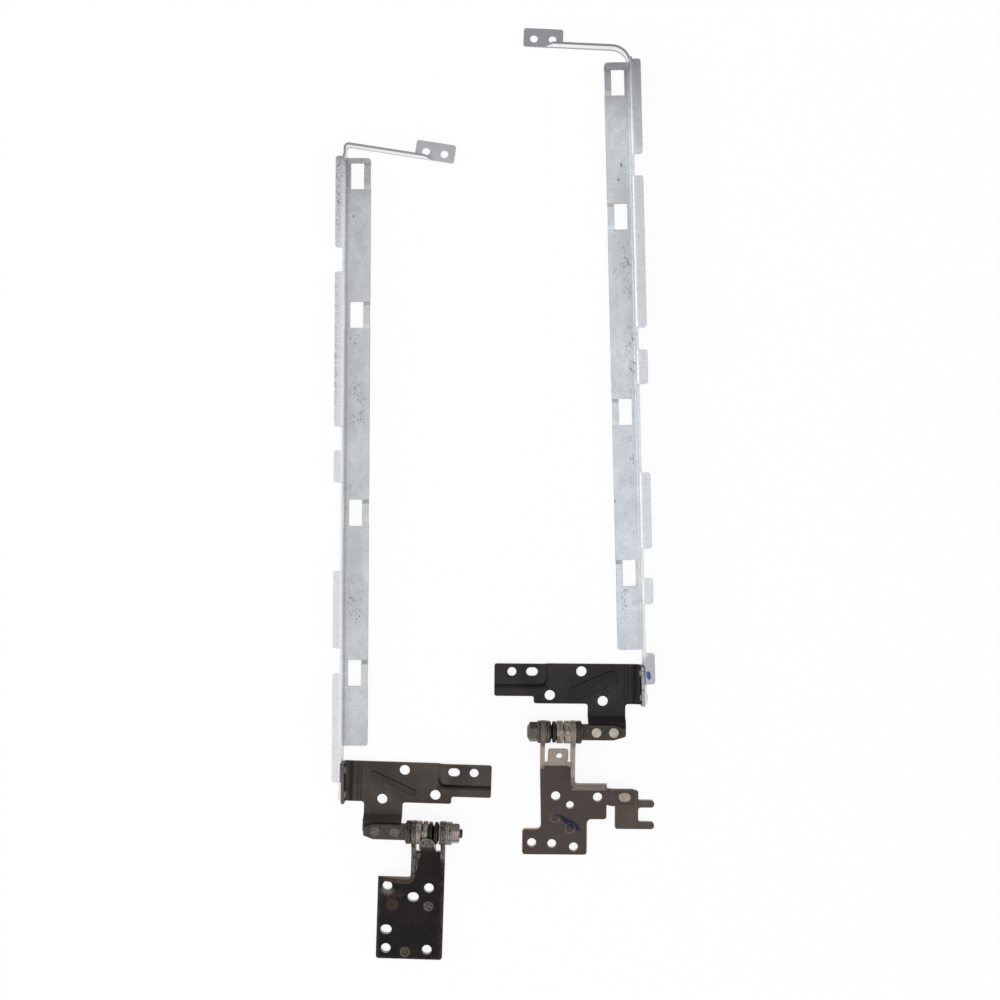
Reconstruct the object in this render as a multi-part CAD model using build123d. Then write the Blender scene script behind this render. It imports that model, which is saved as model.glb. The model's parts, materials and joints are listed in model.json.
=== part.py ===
from build123d import *
from math import cos, radians, sin, tan
import os

# A pair of laptop display hinges lying screen side up, in millimetres. The shafts
# run along X, the rails point to +Y and the base brackets to -Y.
#
# Each hinge is drawn as the left one, and the right one is its mirror image with
# its own sizes. In the hinge frame x runs inward along the shaft from the outer
# face of the rail's web, y runs from the shaft towards the rail, and z is up from
# the surface that the sheets lie on. The rail frame starts at the hinge end of the
# strip, at the outer face of the web.

# Sheets and bends
rail_sheet = 0.8
lid_sheet = 1.0
base_sheet = 1.5
fork_sheet = 1.2
corner_radius = 0.8
inner_bend = 0.5

# Solids of revolution stand on their lower end
on_end = (Align.CENTER, Align.CENTER, Align.MIN)
overlap = 0.01

# Running and seating clearances
shaft_clearance = 0.05
key_clearance = 0.04
rivet_clearance = 0.02
face_gap = 0.02

# Rail, common to both hinges. Shares are of the rail's length.
rail_length = 205.2
strip_width = 9.2
web_height = 5.0
web_tail = 18.5
tail_chamfer = 1.2
window_width = 4.75
window_length = 9.2
window_edge = 2.25
window_radius = 0.5
bridge_lift = 0.8
bridge_slope = 1.3
tab_radius = 1.0
panel_screw_bore = 2.3
panel_screw_shares = (0.0877, 0.5068, 0.9259)

# End arm of the rail, standing on edge, and the flat tab at its foot
arm_height = 3.2
arm_taper = 2.4
arm_overlap = 6.0
end_tab_length = 13.8
end_tab_width = 6.2
end_tab_radius = 0.9
end_tab_bore = 2.75
end_tab_pitch = 6.5
end_tab_first = 3.65
end_tab_hole_line = 2.65

# Lid bracket, common to both hinges
bracket_length = 52.6
bracket_top = 23.0
bracket_step_x = bracket_length - 13.8
bracket_end_lower = 11.6
bracket_lower = 9.1
flange_height = 5.5
crease_x = 7.1
crease_width = 0.6
crease_depth = 0.25
platform_x = bracket_length - 19.0
platform_y = 14.7
platform_lift = 0.9
platform_radius = 3.0
platform_slope = 60.0
flange_foot = 0.6
rib_lift = 0.35
rib_slope = 35.0
rib_narrower = 0.5
rib_turn = -23.5
joggle_start = 4.9
joggle_run = 1.9
lid_bore = 3.7
lid_bore_places = ((22.25, 20.4), (14.7, 10.1), (bracket_length - 19.4, 12.0))
lid_screw_bore = 3.2
lid_screw_place = (bracket_length - 6.1, 20.3)
lid_slot_length = 4.05
lid_slot_width = 3.0
lid_slot_place = (bracket_length - 13.1, 20.3)

# Rail to bracket joint
bracket_gap = 5.2
rail_rivet_spread = 4.2
rail_rivet_level = 2.7
rail_rivet_shank = 1.6
rail_rivet_head = 2.6
rail_rivet_rise = 0.45
rail_rivet_foot_rise = 0.32

# Shaft
axis_height = 4.2
collar_diameter = 7.75
collar_chamfer = 0.35
journal_diameter = 4.0
key_width = 3.0
thread_diameter = 2.9
thread_relief = 0.2
thread_chamfer = 0.3
tang_thickness = 2.0
tang_width = 5.3
tang_edge = 0.3
shaft_rivet_diameter = 3.3
shaft_rivet_foot = 4.2
shaft_rivet_foot_height = 0.6
shaft_rivet_foot_edge = 0.25
punch_diameter = 0.8
punch_depth = 0.3

# Friction stack
stack_diameter = 7.7
stack_edge = 0.15
ear_radius = 3.95
lug_height = 0.35
lug_half_angle = 26.0
lug_play_angle = 6.0
peg_diameter = 1.2
peg_radius = 2.8
peg_length = 1.0
peg_root = 0.3
spring_diameter = 7.3
spring_sheet = 0.5
spring_edge = 0.1
nut_across_flats = 5.9

# Base brackets, common sizes
wall_height = 4.1
wall_corner_radius = 2.1
outer_bend = 1.6
wall_foot = 2.4
wall_end_radius = 2.2
base_corner = 1.0
base_inner_corner = 1.6
boss_lift = 0.3
boss_slope = 30.0
leg_toe = 3.0
leg_slope = 2.4
shoulder_radius = 1.5
foot_radius = 1.0
wall_taper_start = 2.1
wall_edge = 0.3

# Left base bracket
left_column_top = -7.6
left_inner_leg = 9.1
left_wing_x = 14.2
left_wing_top = -16.6
left_plate_bottom = -45.2
left_base_bore = 3.5
left_bores = ((17.5, -19.9), (32.0, -20.3), (17.6, -41.6), (31.9, -41.8))
left_slots = ((26.6, -23.6), (17.5, -35.1))
left_slot_length = 3.9
left_slot_width = 3.3
left_bosses = ((19.5, -26.4, 4.1), (32.0, -26.6, 3.4), (24.3, -42.7, 3.5))
curl_sheet = 1.2
curl_gap = 0.4
curl_width = 5.4
curl_inset = 1.4
curl_end_angle = 96.0
curl_start_angle = 218.0
curl_tip_radius = 2.4
curl_reach = 12.0
curl_foot_rise = 0.6

# Right base bracket
right_column_top = -10.9
right_wing_x = 13.1
right_wing_top = -18.5
right_wing_bottom = -31.0
right_foot_top = -34.7
right_foot_x = 42.4
right_plate_bottom = -43.4
right_inner_leg = 11.5
right_leg_x = 19.9
right_bores = (
    (30.85, -23.0, 3.3),
    (16.25, -23.3, 3.3),
    (25.85, -26.1, 2.75),
    (39.1, -39.3, 3.2),
    (32.1, -39.6, 3.2),
    (24.5, -40.7, 3.2),
)
right_dimples = ((31.0, -30.5), (25.8, -34.2))
dimple_diameter = 3.35
tab_slit_outer = 0.8
tab_slit_inner = 1.2
tab_end = -6.2
tab_lean = 26.0
tab_sheet = 1.2
tab_corner = 0.9
tab_bend = 2.0
tab_bore = 2.2
tab_bore_from_end = 2.7
tab_bore_offset = -0.4
relief_radius = 0.6
arm_y = (-26.0, -20.3)
arm_tip_x = 3.2
arm_joggle = 1.5

# Fork plate under the right bracket's arm
fork_body_x = (2.0, 10.1)
fork_y = (-34.4, -21.0)
fork_slot_y = (-31.9, -26.9)
fork_slot_floor = 2.0
fork_tip_x = -3.6
fork_slot_radius = 0.9
fork_prong_radius = 1.2
fork_rivet_place = (7.0, -22.8)
fork_rivet_head_length = 4.2
fork_rivet_head_width = 3.2
fork_rivet_head_rise = 0.4
fork_rivet_head_edge = 0.15
fork_rivet_shank = 2.2
fork_rivet_seat = 3.2
fork_rivet_seat_depth = 0.5

# Cutters pass through everything
deep = 4 * (axis_height + ear_radius)


class Side:
    """Sizes and places of one hinge, where the two differ."""

    def __init__(self, **values):
        self.__dict__.update(values)


left = Side(
    name="left",
    hand=1,
    rail_origin=(-55.53, -85.75),
    rail_turn=-0.36,
    hinge_turn=-1.8,
    window_shares=(0.9693, 0.7334, 0.3962, 0.1233),
    tab_depth=2.4,
    tab_shares=(
        (0.8426, 0.9961),
        (0.5414, 0.8017),
        (0.4474, 0.501),
        (0.1686, 0.2987),
        (-0.0565, 0.1257),
    ),
    arm_rise=4.4,
    arm_angle=-8.5,
    arm_bend=1.4,
    end_tab_start=24.3,
    rib_size=(17.4, 2.1),
    rib_place=(18.5, 15.8),
    tongue_x=(8.4, 21.8),
    tongue_end=-2.4,
    tongue_chamfer=(5.0, 1.7),
    tang_start=8.9,
    tang_chamfer=(3.4, 1.2),
    rivet_x=(19.85, 13.0),
    punch_x=None,
    collar_x=23.6,
    collar_length=2.05,
    fixed_cam_length=2.0,
    moving_cam_length=2.0,
    spring_count=4,
    spring_pitch=0.98,
    front_washers=(("backing_washer", 0.6),),
    rear_washers=(("friction_washer", 0.75), ("stop_washer", 0.75), ("lock_washer", 0.75)),
    nut_length=2.6,
    nut_chamfer=(0.42, 0.7),
    thread_beyond_nut=1.0,
)

right = Side(
    name="right",
    hand=-1,
    rail_origin=(50.32, -52.2),
    rail_turn=1.35,
    hinge_turn=-0.5,
    window_shares=(0.9659, 0.7378, 0.405, 0.1306),
    tab_depth=2.95,
    tab_shares=(
        (0.8363, 0.9961),
        (0.5448, 0.7997),
        (0.4493, 0.5073),
        (0.1725, 0.3007),
        (0.0794, 0.1228),
        (-0.0556, -0.0034),
    ),
    arm_rise=4.4,
    arm_angle=4.0,
    arm_bend=6.5,
    end_tab_start=23.1,
    rib_size=(18.4, 4.9),
    rib_place=(17.9, 15.6),
    tongue_x=(6.8, 19.9),
    tongue_end=-2.9,
    tongue_chamfer=(4.8, 1.3),
    tang_start=7.0,
    tang_chamfer=(4.2, 1.3),
    rivet_x=(17.2, 11.25),
    punch_x=14.3,
    collar_x=22.35,
    collar_length=2.0,
    fixed_cam_length=2.55,
    moving_cam_length=2.5,
    spring_count=3,
    spring_pitch=0.86,
    front_washers=(("backing_washer", 0.65), ("seat_washer", 0.65)),
    rear_washers=(("friction_washer", 0.55), ("lock_washer", 0.55)),
    nut_length=3.5,
    nut_chamfer=(1.0, 1.5),
    thread_beyond_nut=-0.4,
)


# Shapes used by several pieces

def outline(*corners):
    """Closed face with corners given as (x, y, radius)."""
    points = [(x, y) for x, y, _ in corners]
    radii = [radius for _, _, radius in corners]
    return make_face(FilletPolyline(*points, radius=radii, close=True))


def sheet(face, thickness, level=0.0):
    return extrude(Pos(0, 0, level) * face, thickness)


def bore(x, y, diameter):
    return Pos(x, y) * Cylinder(diameter / 2, deep)


def slot_bore(x, y, length, width):
    return extrude(Pos(x, y, -deep / 2) * SlotOverall(length, width), deep)


def across(start, width, *corners):
    """Prism along x, from an outline in y and z."""
    plane = Plane(origin=(start, 0, 0), x_dir=(0, 1, 0), z_dir=(1, 0, 0))
    return extrude(plane * outline(*corners), width)


def along(start, length, *corners):
    """Prism along y, from an outline in x and z."""
    plane = Plane(origin=(0, start + length, 0), x_dir=(1, 0, 0), z_dir=(0, -1, 0))
    return extrude(plane * outline(*corners), length)


def on_shaft(x, solid):
    """Turn a solid that is drawn up +Z so that it starts at x on the shaft."""
    return Pos(x, 0, axis_height) * Rot(0, 90, 0) * solid


def ring(outer, length, hole):
    body = Cylinder(outer / 2, length, align=on_end)
    body = chamfer(body.edges().filter_by(GeomType.CIRCLE), stack_edge)
    return body - extrude(Pos(0, 0, -length) * hole, 3 * length)


def side_hole(diameter):
    """Drill along x."""
    return Rot(0, 90, 0) * Cylinder(diameter / 2, deep)


def round_hole():
    return Circle(journal_diameter / 2 + shaft_clearance)


def key_hole():
    flats = Rectangle(key_width + 2 * key_clearance, journal_diameter * 2)
    return round_hole() & flats


# Frames and places

def rail_frame(side):
    return Pos(*side.rail_origin) * Rot(0, 0, side.rail_turn)


def flange_middle():
    return (bracket_top + bracket_lower) / 2


def flange_reach():
    """From the strip's end to the flange's middle."""
    return bracket_gap + bracket_top - flange_middle()


def hinge_frame(side):
    """The bracket's flange lies on the web, so the flange fixes this frame."""
    seat = (rail_frame(side) * Pos(0, -flange_reach())).position
    return Pos(seat) * Rot(0, 0, side.hinge_turn) * Pos(0, -flange_middle())


def web_frame(side):
    """Line of the web's outer face, seen from the hinge frame."""
    turn = side.hand * (side.rail_turn - side.hinge_turn)
    return Pos(0, flange_middle()) * Rot(0, 0, turn)


def stack_places(side):
    """Start of each piece along the shaft, in the hinge frame."""
    places = {}
    x = side.collar_x + side.collar_length + face_gap
    places["outer_ear"] = x
    x += base_sheet + face_gap
    places["fixed_cam"] = x
    x += side.fixed_cam_length + face_gap
    places["moving_cam"] = x
    x += side.moving_cam_length + face_gap
    for number in range(side.spring_count):
        places[f"disc_spring_{number + 1}"] = x
        x += side.spring_pitch
    for name, length in side.front_washers:
        places[name] = x
        x += length + face_gap
    places["inner_ear"] = x
    x += base_sheet + face_gap
    for name, length in side.rear_washers:
        places[name] = x
        x += length + face_gap
    places["nut"] = x
    return places


def base_edges(side):
    """Outer faces of the two ears, which are also the sides of the channel."""
    places = stack_places(side)
    return places["outer_ear"], places["inner_ear"] + base_sheet


# Rail

def rail_place(share):
    """Windows, tabs and screw holes keep their share of the rail's length."""
    return share * rail_length


def rail_section():
    """Strip and web as one folded section."""
    return along(
        0,
        rail_length,
        (0, 0, inner_bend + rail_sheet),
        (strip_width, 0, 0),
        (strip_width, rail_sheet, 0),
        (rail_sheet, rail_sheet, inner_bend),
        (rail_sheet, web_height, 0.1),
        (0, web_height, 0.1),
    )


def rail_corners():
    """Waste outside the strip's rounded inner corners."""
    rounded = outline(
        (-1, -1, 0),
        (rail_sheet, -1, 0),
        (rail_sheet, 0, 0),
        (strip_width, 0, corner_radius),
        (strip_width, rail_length, corner_radius + 0.5),
        (rail_sheet, rail_length, 0),
        (rail_sheet, rail_length + 1, 0),
        (-1, rail_length + 1, 0),
    )
    return sheet(rounded, web_height)


def window_cut(place):
    x = strip_width - window_edge - window_width / 2
    face = RectangleRounded(window_width, window_length, window_radius)
    return extrude(Pos(x, place, -1) * face, 3)


def bridge_room(place):
    x = strip_width - window_edge / 2 + 0.5
    return Pos(x, place) * Box(window_edge + 1, window_length, 4)


def window_bridge(place):
    """Inner bar beside a window, stepped up out of the strip."""
    start = place - window_length / 2
    end = place + window_length / 2
    top = bridge_lift + rail_sheet
    return across(
        strip_width - window_edge,
        window_edge,
        (start, 0, 0),
        (start + bridge_slope, bridge_lift, 0),
        (end - bridge_slope, bridge_lift, 0),
        (end, 0, 0),
        (end, rail_sheet, 0),
        (end - bridge_slope, top, 0),
        (start + bridge_slope, top, 0),
        (start, rail_sheet, 0),
    )


def web_tail_piece():
    """Web beyond the strip, which carries the lid bracket."""
    return across(
        0,
        rail_sheet,
        (1, 0, 0),
        (1, web_height, 0),
        (-web_tail, web_height, tail_chamfer),
        (-web_tail, 0, tail_chamfer),
    )


def outward_tab(start, end, depth):
    """Tab folded outward from the top of the web, with its bend."""
    below = web_height - 2 * rail_sheet - inner_bend
    tab = along(
        start,
        end - start,
        (-depth, web_height - rail_sheet, 0),
        (0, web_height - rail_sheet, inner_bend),
        (0, below, 0),
        (rail_sheet, below, 0),
        (rail_sheet, web_height, inner_bend + rail_sheet / 2),
        (-depth, web_height, 0),
    )
    corners = tab.edges().filter_by(Axis.Z).group_by(Axis.X)[0]
    return fillet(corners, tab_radius)


def tab_room(start, end):
    below = web_height - 2 * rail_sheet - inner_bend
    on_corner = (Align.CENTER, Align.MIN, Align.MIN)
    room = Box(3 * rail_sheet, end - start, web_height, align=on_corner)
    return Pos(rail_sheet / 2, start, below) * room


def end_arm(side):
    """Arm on edge, bent round from the web, and its flat tab."""
    half = rail_sheet / 2
    corner = Vector(half, rail_length + side.arm_rise)
    turn = radians(side.arm_angle)
    reach = side.end_tab_start + arm_overlap
    tip = corner + Vector(cos(turn), sin(turn)) * reach
    path = FilletPolyline((half, rail_length - 2), corner, tip, radius=side.arm_bend)
    section = Plane(origin=path @ 0, x_dir=(1, 0, 0), z_dir=path % 0) * Rectangle(
        rail_sheet, arm_height, align=(Align.CENTER, Align.MAX)
    )
    frame = Pos(corner) * Rot(0, 0, side.arm_angle)
    taper = along(
        -rail_sheet,
        2 * rail_sheet,
        (reach - arm_taper, arm_height, 0),
        (reach, rail_sheet, 0),
        (reach + 1, rail_sheet, 0),
        (reach + 1, arm_height + 1, 0),
        (reach - arm_taper, arm_height + 1, 0),
    )
    end = side.end_tab_start + end_tab_length
    tab = sheet(
        outline(
            (side.end_tab_start, -half, 0),
            (end, -half, end_tab_radius),
            (end, end_tab_width - half, end_tab_radius),
            (side.end_tab_start, end_tab_width - half, end_tab_radius),
        ),
        rail_sheet,
    )
    for number in range(2):
        x = side.end_tab_start + end_tab_first + number * end_tab_pitch
        tab -= bore(x, end_tab_hole_line - half, end_tab_bore)
    return sweep(section, path) - frame * taper + frame * tab


def rail_rivet_places():
    """Rivets from the flange's middle, along the web."""
    return {"upper": rail_rivet_spread, "lower": -rail_rivet_spread}


def rail(side):
    body = rail_section() & rail_corners()
    for place in map(rail_place, side.window_shares):
        body -= window_cut(place)
        body -= bridge_room(place)
        body += window_bridge(place)
    body += web_tail_piece()
    for shares in side.tab_shares:
        start, end = map(rail_place, shares)
        body -= tab_room(start, end)
        body += outward_tab(start, end, side.tab_depth)
    for place in map(rail_place, panel_screw_shares):
        body -= Pos(0, place, web_height / 2) * side_hole(panel_screw_bore)
    for offset in rail_rivet_places().values():
        hole = side_hole(rail_rivet_shank + 2 * rivet_clearance)
        body -= Pos(0, offset - flange_reach(), rail_rivet_level) * hole
    return body + end_arm(side)


def rail_rivet(offset):
    """Rivet with a flat outer head and a domed inner head, in the web frame."""
    grip = rail_sheet + lid_sheet
    dome_radius = (rail_rivet_head ** 2 / 4 + rail_rivet_rise ** 2) / (2 * rail_rivet_rise)
    dome = Pos(0, 0, grip + rail_rivet_rise - dome_radius) * Sphere(dome_radius)
    head = Pos(0, 0, grip) * Cylinder(rail_rivet_head / 2, rail_rivet_rise, align=on_end)
    shank = Cylinder(rail_rivet_shank / 2, grip, align=on_end)
    foot = Cylinder(rail_rivet_head / 2, rail_rivet_foot_rise, align=on_end)
    body = shank + Pos(0, 0, -rail_rivet_foot_rise) * foot + (head & dome)
    return Pos(0, offset, rail_rivet_level) * Rot(0, 90, 0) * body


# Lid bracket

def tongue_lift():
    return axis_height - tang_thickness / 2 - lid_sheet


def lid_flange(side):
    """Flange and its bend, square to the web."""
    length = bracket_top - bracket_lower
    face = rail_sheet
    bend_end = face + lid_sheet + inner_bend + flange_foot
    flange = along(
        -length / 2,
        length,
        (face, 0, inner_bend + lid_sheet),
        (bend_end, 0, 0),
        (bend_end, lid_sheet, 0),
        (face + lid_sheet, lid_sheet, inner_bend),
        (face + lid_sheet, flange_height, 0),
        (face, flange_height, 0),
    )
    top_corners = flange.edges().filter_by(Axis.X).group_by(Axis.Z)[-1]
    flange = fillet(top_corners, corner_radius)
    for offset in rail_rivet_places().values():
        hole = side_hole(rail_rivet_shank + 2 * rivet_clearance)
        flange -= Pos(0, offset, rail_rivet_level) * hole
    return web_frame(side) * flange


def lid_plate_outline(side):
    start = rail_sheet + lid_sheet + inner_bend + flange_foot / 2
    outer, inner = side.tongue_x
    return outline(
        (start, bracket_top, 0),
        (bracket_length, bracket_top, corner_radius),
        (bracket_length, bracket_end_lower, corner_radius),
        (bracket_step_x, bracket_end_lower, corner_radius),
        (bracket_step_x, bracket_lower, corner_radius),
        (inner, bracket_lower, corner_radius + 0.2),
        (inner, joggle_start, 0),
        (outer, joggle_start, 0),
        (outer, bracket_lower, corner_radius + 0.2),
        (start, bracket_lower, 0),
    )


def lid_tongue(side):
    """Tongue stepped up so that the tang on it is level with the shaft."""
    outer, inner = side.tongue_x
    run, drop = side.tongue_chamfer
    lift = tongue_lift()
    level = joggle_start - joggle_run
    strip = across(
        outer,
        inner - outer,
        (joggle_start + 0.5, 0, 0),
        (joggle_start, 0, inner_bend),
        (level, lift, inner_bend),
        (side.tongue_end, lift, 0),
        (side.tongue_end, lift + lid_sheet, 0),
        (level, lift + lid_sheet, inner_bend),
        (joggle_start, lid_sheet, inner_bend),
        (joggle_start + 0.5, lid_sheet, 0),
    )
    shape = outline(
        (outer, joggle_start + 1, 0),
        (outer, side.tongue_end + drop, corner_radius),
        (outer + run, side.tongue_end, corner_radius),
        (inner, side.tongue_end, corner_radius),
        (inner, joggle_start + 1, 0),
    )
    return strip & sheet(shape, 2 * axis_height)


def platform(level, inset):
    """Raised corner of the bracket, and with an inset the hollow under it."""
    reach = 2 * platform_radius
    face = outline(
        (platform_x + inset, bracket_top + reach, 0),
        (platform_x + inset, platform_y + inset, platform_radius),
        (bracket_length + reach, platform_y + inset, 0),
        (bracket_length + reach, bracket_top + reach, 0),
    )
    return extrude(Pos(0, 0, level) * face, platform_lift, taper=platform_slope)


def hollow_inset():
    """Keeps the sheet as thick on the platform's slope as on the flat."""
    return lid_sheet * tan(radians(90 - platform_slope) / 2)


def rib(side, level, narrower):
    length, width = side.rib_size
    face = SlotOverall(length - narrower, width - narrower)
    place = Pos(*side.rib_place, level) * Rot(0, 0, rib_turn)
    return place * extrude(face, rib_lift, taper=rib_slope)


def crease():
    """Scribed groove beside the flange's bend."""
    return along(
        bracket_lower - 1,
        bracket_top - bracket_lower + 2,
        (crease_x - crease_width / 2, lid_sheet, 0),
        (crease_x, lid_sheet - crease_depth, 0),
        (crease_x + crease_width / 2, lid_sheet, 0),
        (crease_x, lid_sheet + 1, 0),
    )


def lid_bracket(side):
    blank = lid_plate_outline(side)
    body = sheet(blank, lid_sheet)
    body += platform(lid_sheet - overlap, 0) & sheet(blank, deep)
    body -= platform(-overlap, hollow_inset())
    body += rib(side, lid_sheet - overlap, 0)
    body -= rib(side, -overlap, rib_narrower)
    body += lid_flange(side)
    body += lid_tongue(side)
    body -= crease()
    for x, y in lid_bore_places:
        body -= bore(x, y, lid_bore)
    body -= bore(*lid_screw_place, lid_screw_bore)
    body -= slot_bore(*lid_slot_place, lid_slot_length, lid_slot_width)
    for x in side.rivet_x:
        body -= bore(x, 0, shaft_rivet_diameter + 2 * rivet_clearance)
    return body


# Shaft

def shaft(side):
    places = stack_places(side)
    run, drop = side.tang_chamfer
    half = tang_width / 2
    end = side.collar_x + 0.5
    tang_face = outline(
        (side.tang_start, drop - half, corner_radius),
        (side.tang_start + run, -half, corner_radius),
        (end, -half, 0),
        (end, half, 0),
        (side.tang_start + run, half, corner_radius),
        (side.tang_start, half - drop, corner_radius),
    )
    tang = sheet(tang_face, tang_thickness, axis_height - tang_thickness / 2)
    rim = tang.faces().sort_by(Axis.Z)[-1].edges()
    tang = chamfer(rim, tang_edge)
    for x in side.rivet_x:
        tang -= bore(x, 0, shaft_rivet_diameter + 2 * rivet_clearance)
    if side.punch_x is not None:
        mark = Cone(punch_diameter / 10, punch_diameter / 2, punch_depth, align=on_end)
        tang -= Pos(side.punch_x, 0, axis_height + tang_thickness / 2 - punch_depth) * mark

    collar = Cylinder(collar_diameter / 2, side.collar_length, align=on_end)
    collar = chamfer(collar.edges().filter_by(GeomType.CIRCLE), collar_chamfer)
    start = side.collar_x
    round_end = places["fixed_cam"]
    key_end = places["nut"] - thread_relief
    thread_end = places["nut"] + side.nut_length + side.thread_beyond_nut
    journal = Cylinder(journal_diameter / 2, round_end - start, align=on_end)
    flats = Circle(journal_diameter / 2) & Rectangle(key_width, journal_diameter * 2)
    keyed = Pos(0, 0, round_end - start) * extrude(flats, key_end - round_end)
    thread = Cylinder(thread_diameter / 2, thread_end - key_end, align=on_end)
    rim = thread.edges().filter_by(GeomType.CIRCLE).sort_by(Axis.Z)[-1]
    thread = Pos(0, 0, key_end - start) * chamfer(rim, thread_chamfer)
    return tang + on_shaft(start, collar + journal + keyed + thread)


def shaft_rivet(x):
    """Rivet ground flush with the tang, with its foot under the tongue."""
    level = tongue_lift()
    top = axis_height + tang_thickness / 2
    shank = Pos(x, 0, level) * Cylinder(shaft_rivet_diameter / 2, top - level, align=on_end)
    foot = Cylinder(shaft_rivet_foot / 2, shaft_rivet_foot_height, align=on_end)
    foot = chamfer(foot.edges().filter_by(GeomType.CIRCLE).sort_by(Axis.Z)[0], shaft_rivet_foot_edge)
    return shank + Pos(x, 0, level - shaft_rivet_foot_height) * foot


# Friction stack, drawn up +Z and then laid on the shaft

def sector(inner, outer, start, height, level, half_angle):
    """Part of a ring about +Z, centred on an angle."""
    face = Plane.XZ * (Pos((inner + outer) / 2, level + height / 2) * Rectangle(outer - inner, height))
    return Rot(0, 0, start - half_angle) * revolve(face, Axis.Z, revolution_arc=2 * half_angle)


def lug_rings():
    """Outer and inner tracks, so that the lugs drop in only when closed."""
    inner = journal_diameter / 2 + shaft_clearance
    outer = stack_diameter / 2
    middle = (inner + outer) / 2
    return ((middle, outer, 0), (inner, middle, 180))


def fixed_cam(side):
    body = ring(stack_diameter, side.fixed_cam_length, round_hole())
    level = side.fixed_cam_length - lug_height
    for inner, outer, angle in lug_rings():
        half = lug_half_angle + lug_play_angle
        body -= sector(inner - overlap, outer + overlap, angle + 180, 2 * lug_height, level, half)
    peg = Cylinder(peg_diameter / 2, peg_length + peg_root, align=on_end)
    return body + Pos(peg_radius, 0, -peg_length) * peg


def moving_cam(side):
    body = ring(stack_diameter, side.moving_cam_length - lug_height, key_hole())
    body = Pos(0, 0, lug_height) * body
    for inner, outer, angle in lug_rings():
        body += sector(inner + key_clearance, outer, angle, lug_height + stack_edge, 0, lug_half_angle)
    return body


def disc_spring(side, number):
    """Conical spring washer, turned about in pairs."""
    inner = journal_diameter / 2 + shaft_clearance
    outer = spring_diameter / 2
    rise = side.spring_pitch - spring_sheet - face_gap
    bore_level, rim_level = (0, rise) if number % 2 else (rise, 0)
    face = Plane.XZ * outline(
        (inner, bore_level, 0),
        (outer, rim_level, spring_edge),
        (outer, rim_level + spring_sheet, spring_edge),
        (inner, bore_level + spring_sheet, 0),
    )
    return revolve(face, Axis.Z)


def nut(side):
    radius = nut_across_flats / 3 ** 0.5
    hexagon = extrude(RegularPolygon(radius, 6, rotation=30), side.nut_length)
    envelope = Cylinder(radius, side.nut_length, align=on_end)
    rim = envelope.edges().filter_by(GeomType.CIRCLE)
    envelope = chamfer(rim.sort_by(Axis.Z)[-1], *side.nut_chamfer)
    hole = Cylinder(thread_diameter / 2 + shaft_clearance, deep)
    return hexagon & envelope - hole


# Base brackets

def ear(x, *foot):
    """Round ear on its leg. The leg's lower end is given as corners in y and z."""
    slant = ear_radius / 2 ** 0.5
    shoulder = slant * 2 + axis_height - wall_height
    leg = across(
        x,
        base_sheet,
        (0, axis_height - ear_radius + overlap, 0),
        (-leg_toe, 0, 0),
        *foot,
        (-shoulder, wall_height, shoulder_radius),
        (-slant, axis_height + slant, 0),
        (0, axis_height, 0),
    )
    disc = on_shaft(x, Cylinder(ear_radius, base_sheet, align=on_end))
    return disc + leg


def outer_ear(x, column_top):
    """Ear whose leg runs on into the side wall."""
    return ear(x, (column_top, 0, 0), (column_top, wall_height, 0))


def inner_ear(x, leg_length):
    """Ear whose leg slopes down into the plate."""
    return ear(
        x - base_sheet,
        (-leg_length - leg_slope, 0, 0),
        (-leg_length - leg_slope, base_sheet, 0),
        (-leg_length, wall_height, foot_radius),
    )


def ear_bores(side):
    """Holes for the shaft in both ears, and for the cam's peg in the outer one."""
    x_outer, x_inner = base_edges(side)
    hole = Circle(journal_diameter / 2 + shaft_clearance)
    shaft_hole = on_shaft(x_outer - 1, extrude(hole, x_inner - x_outer + 2))
    peg_hole = Cylinder(peg_diameter / 2 + key_clearance, 3 * base_sheet)
    return shaft_hole + on_shaft(x_outer, Pos(peg_radius, 0) * peg_hole)


def wall_corner():
    """Radius of the wall's middle line where it turns outward."""
    return wall_corner_radius - base_sheet / 2


def plate_inset():
    return outer_bend + 0.1


def plate_corner():
    """The plate's edge turns with the wall's foot."""
    return wall_corner() + plate_inset()


def side_wall(x_outer, column_top, wing_x, wing_top):
    """Upstanding wall and its bend, swept along the bracket's outer edge."""
    path = FilletPolyline(
        (x_outer, column_top),
        (x_outer, wing_top),
        (wing_x, wing_top),
        radius=wall_corner(),
    )
    frame = Plane(origin=path @ 0, x_dir=(1, 0, 0), z_dir=path % 0)
    section = outline(
        (0, 0, outer_bend),
        (wall_foot, 0, 0),
        (wall_foot, -base_sheet, 0),
        (base_sheet, -base_sheet, inner_bend),
        (base_sheet, -wall_height, wall_edge),
        (0, -wall_height, wall_edge),
    )
    return sweep(frame * mirror(section, about=Plane.XZ), path)


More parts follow.
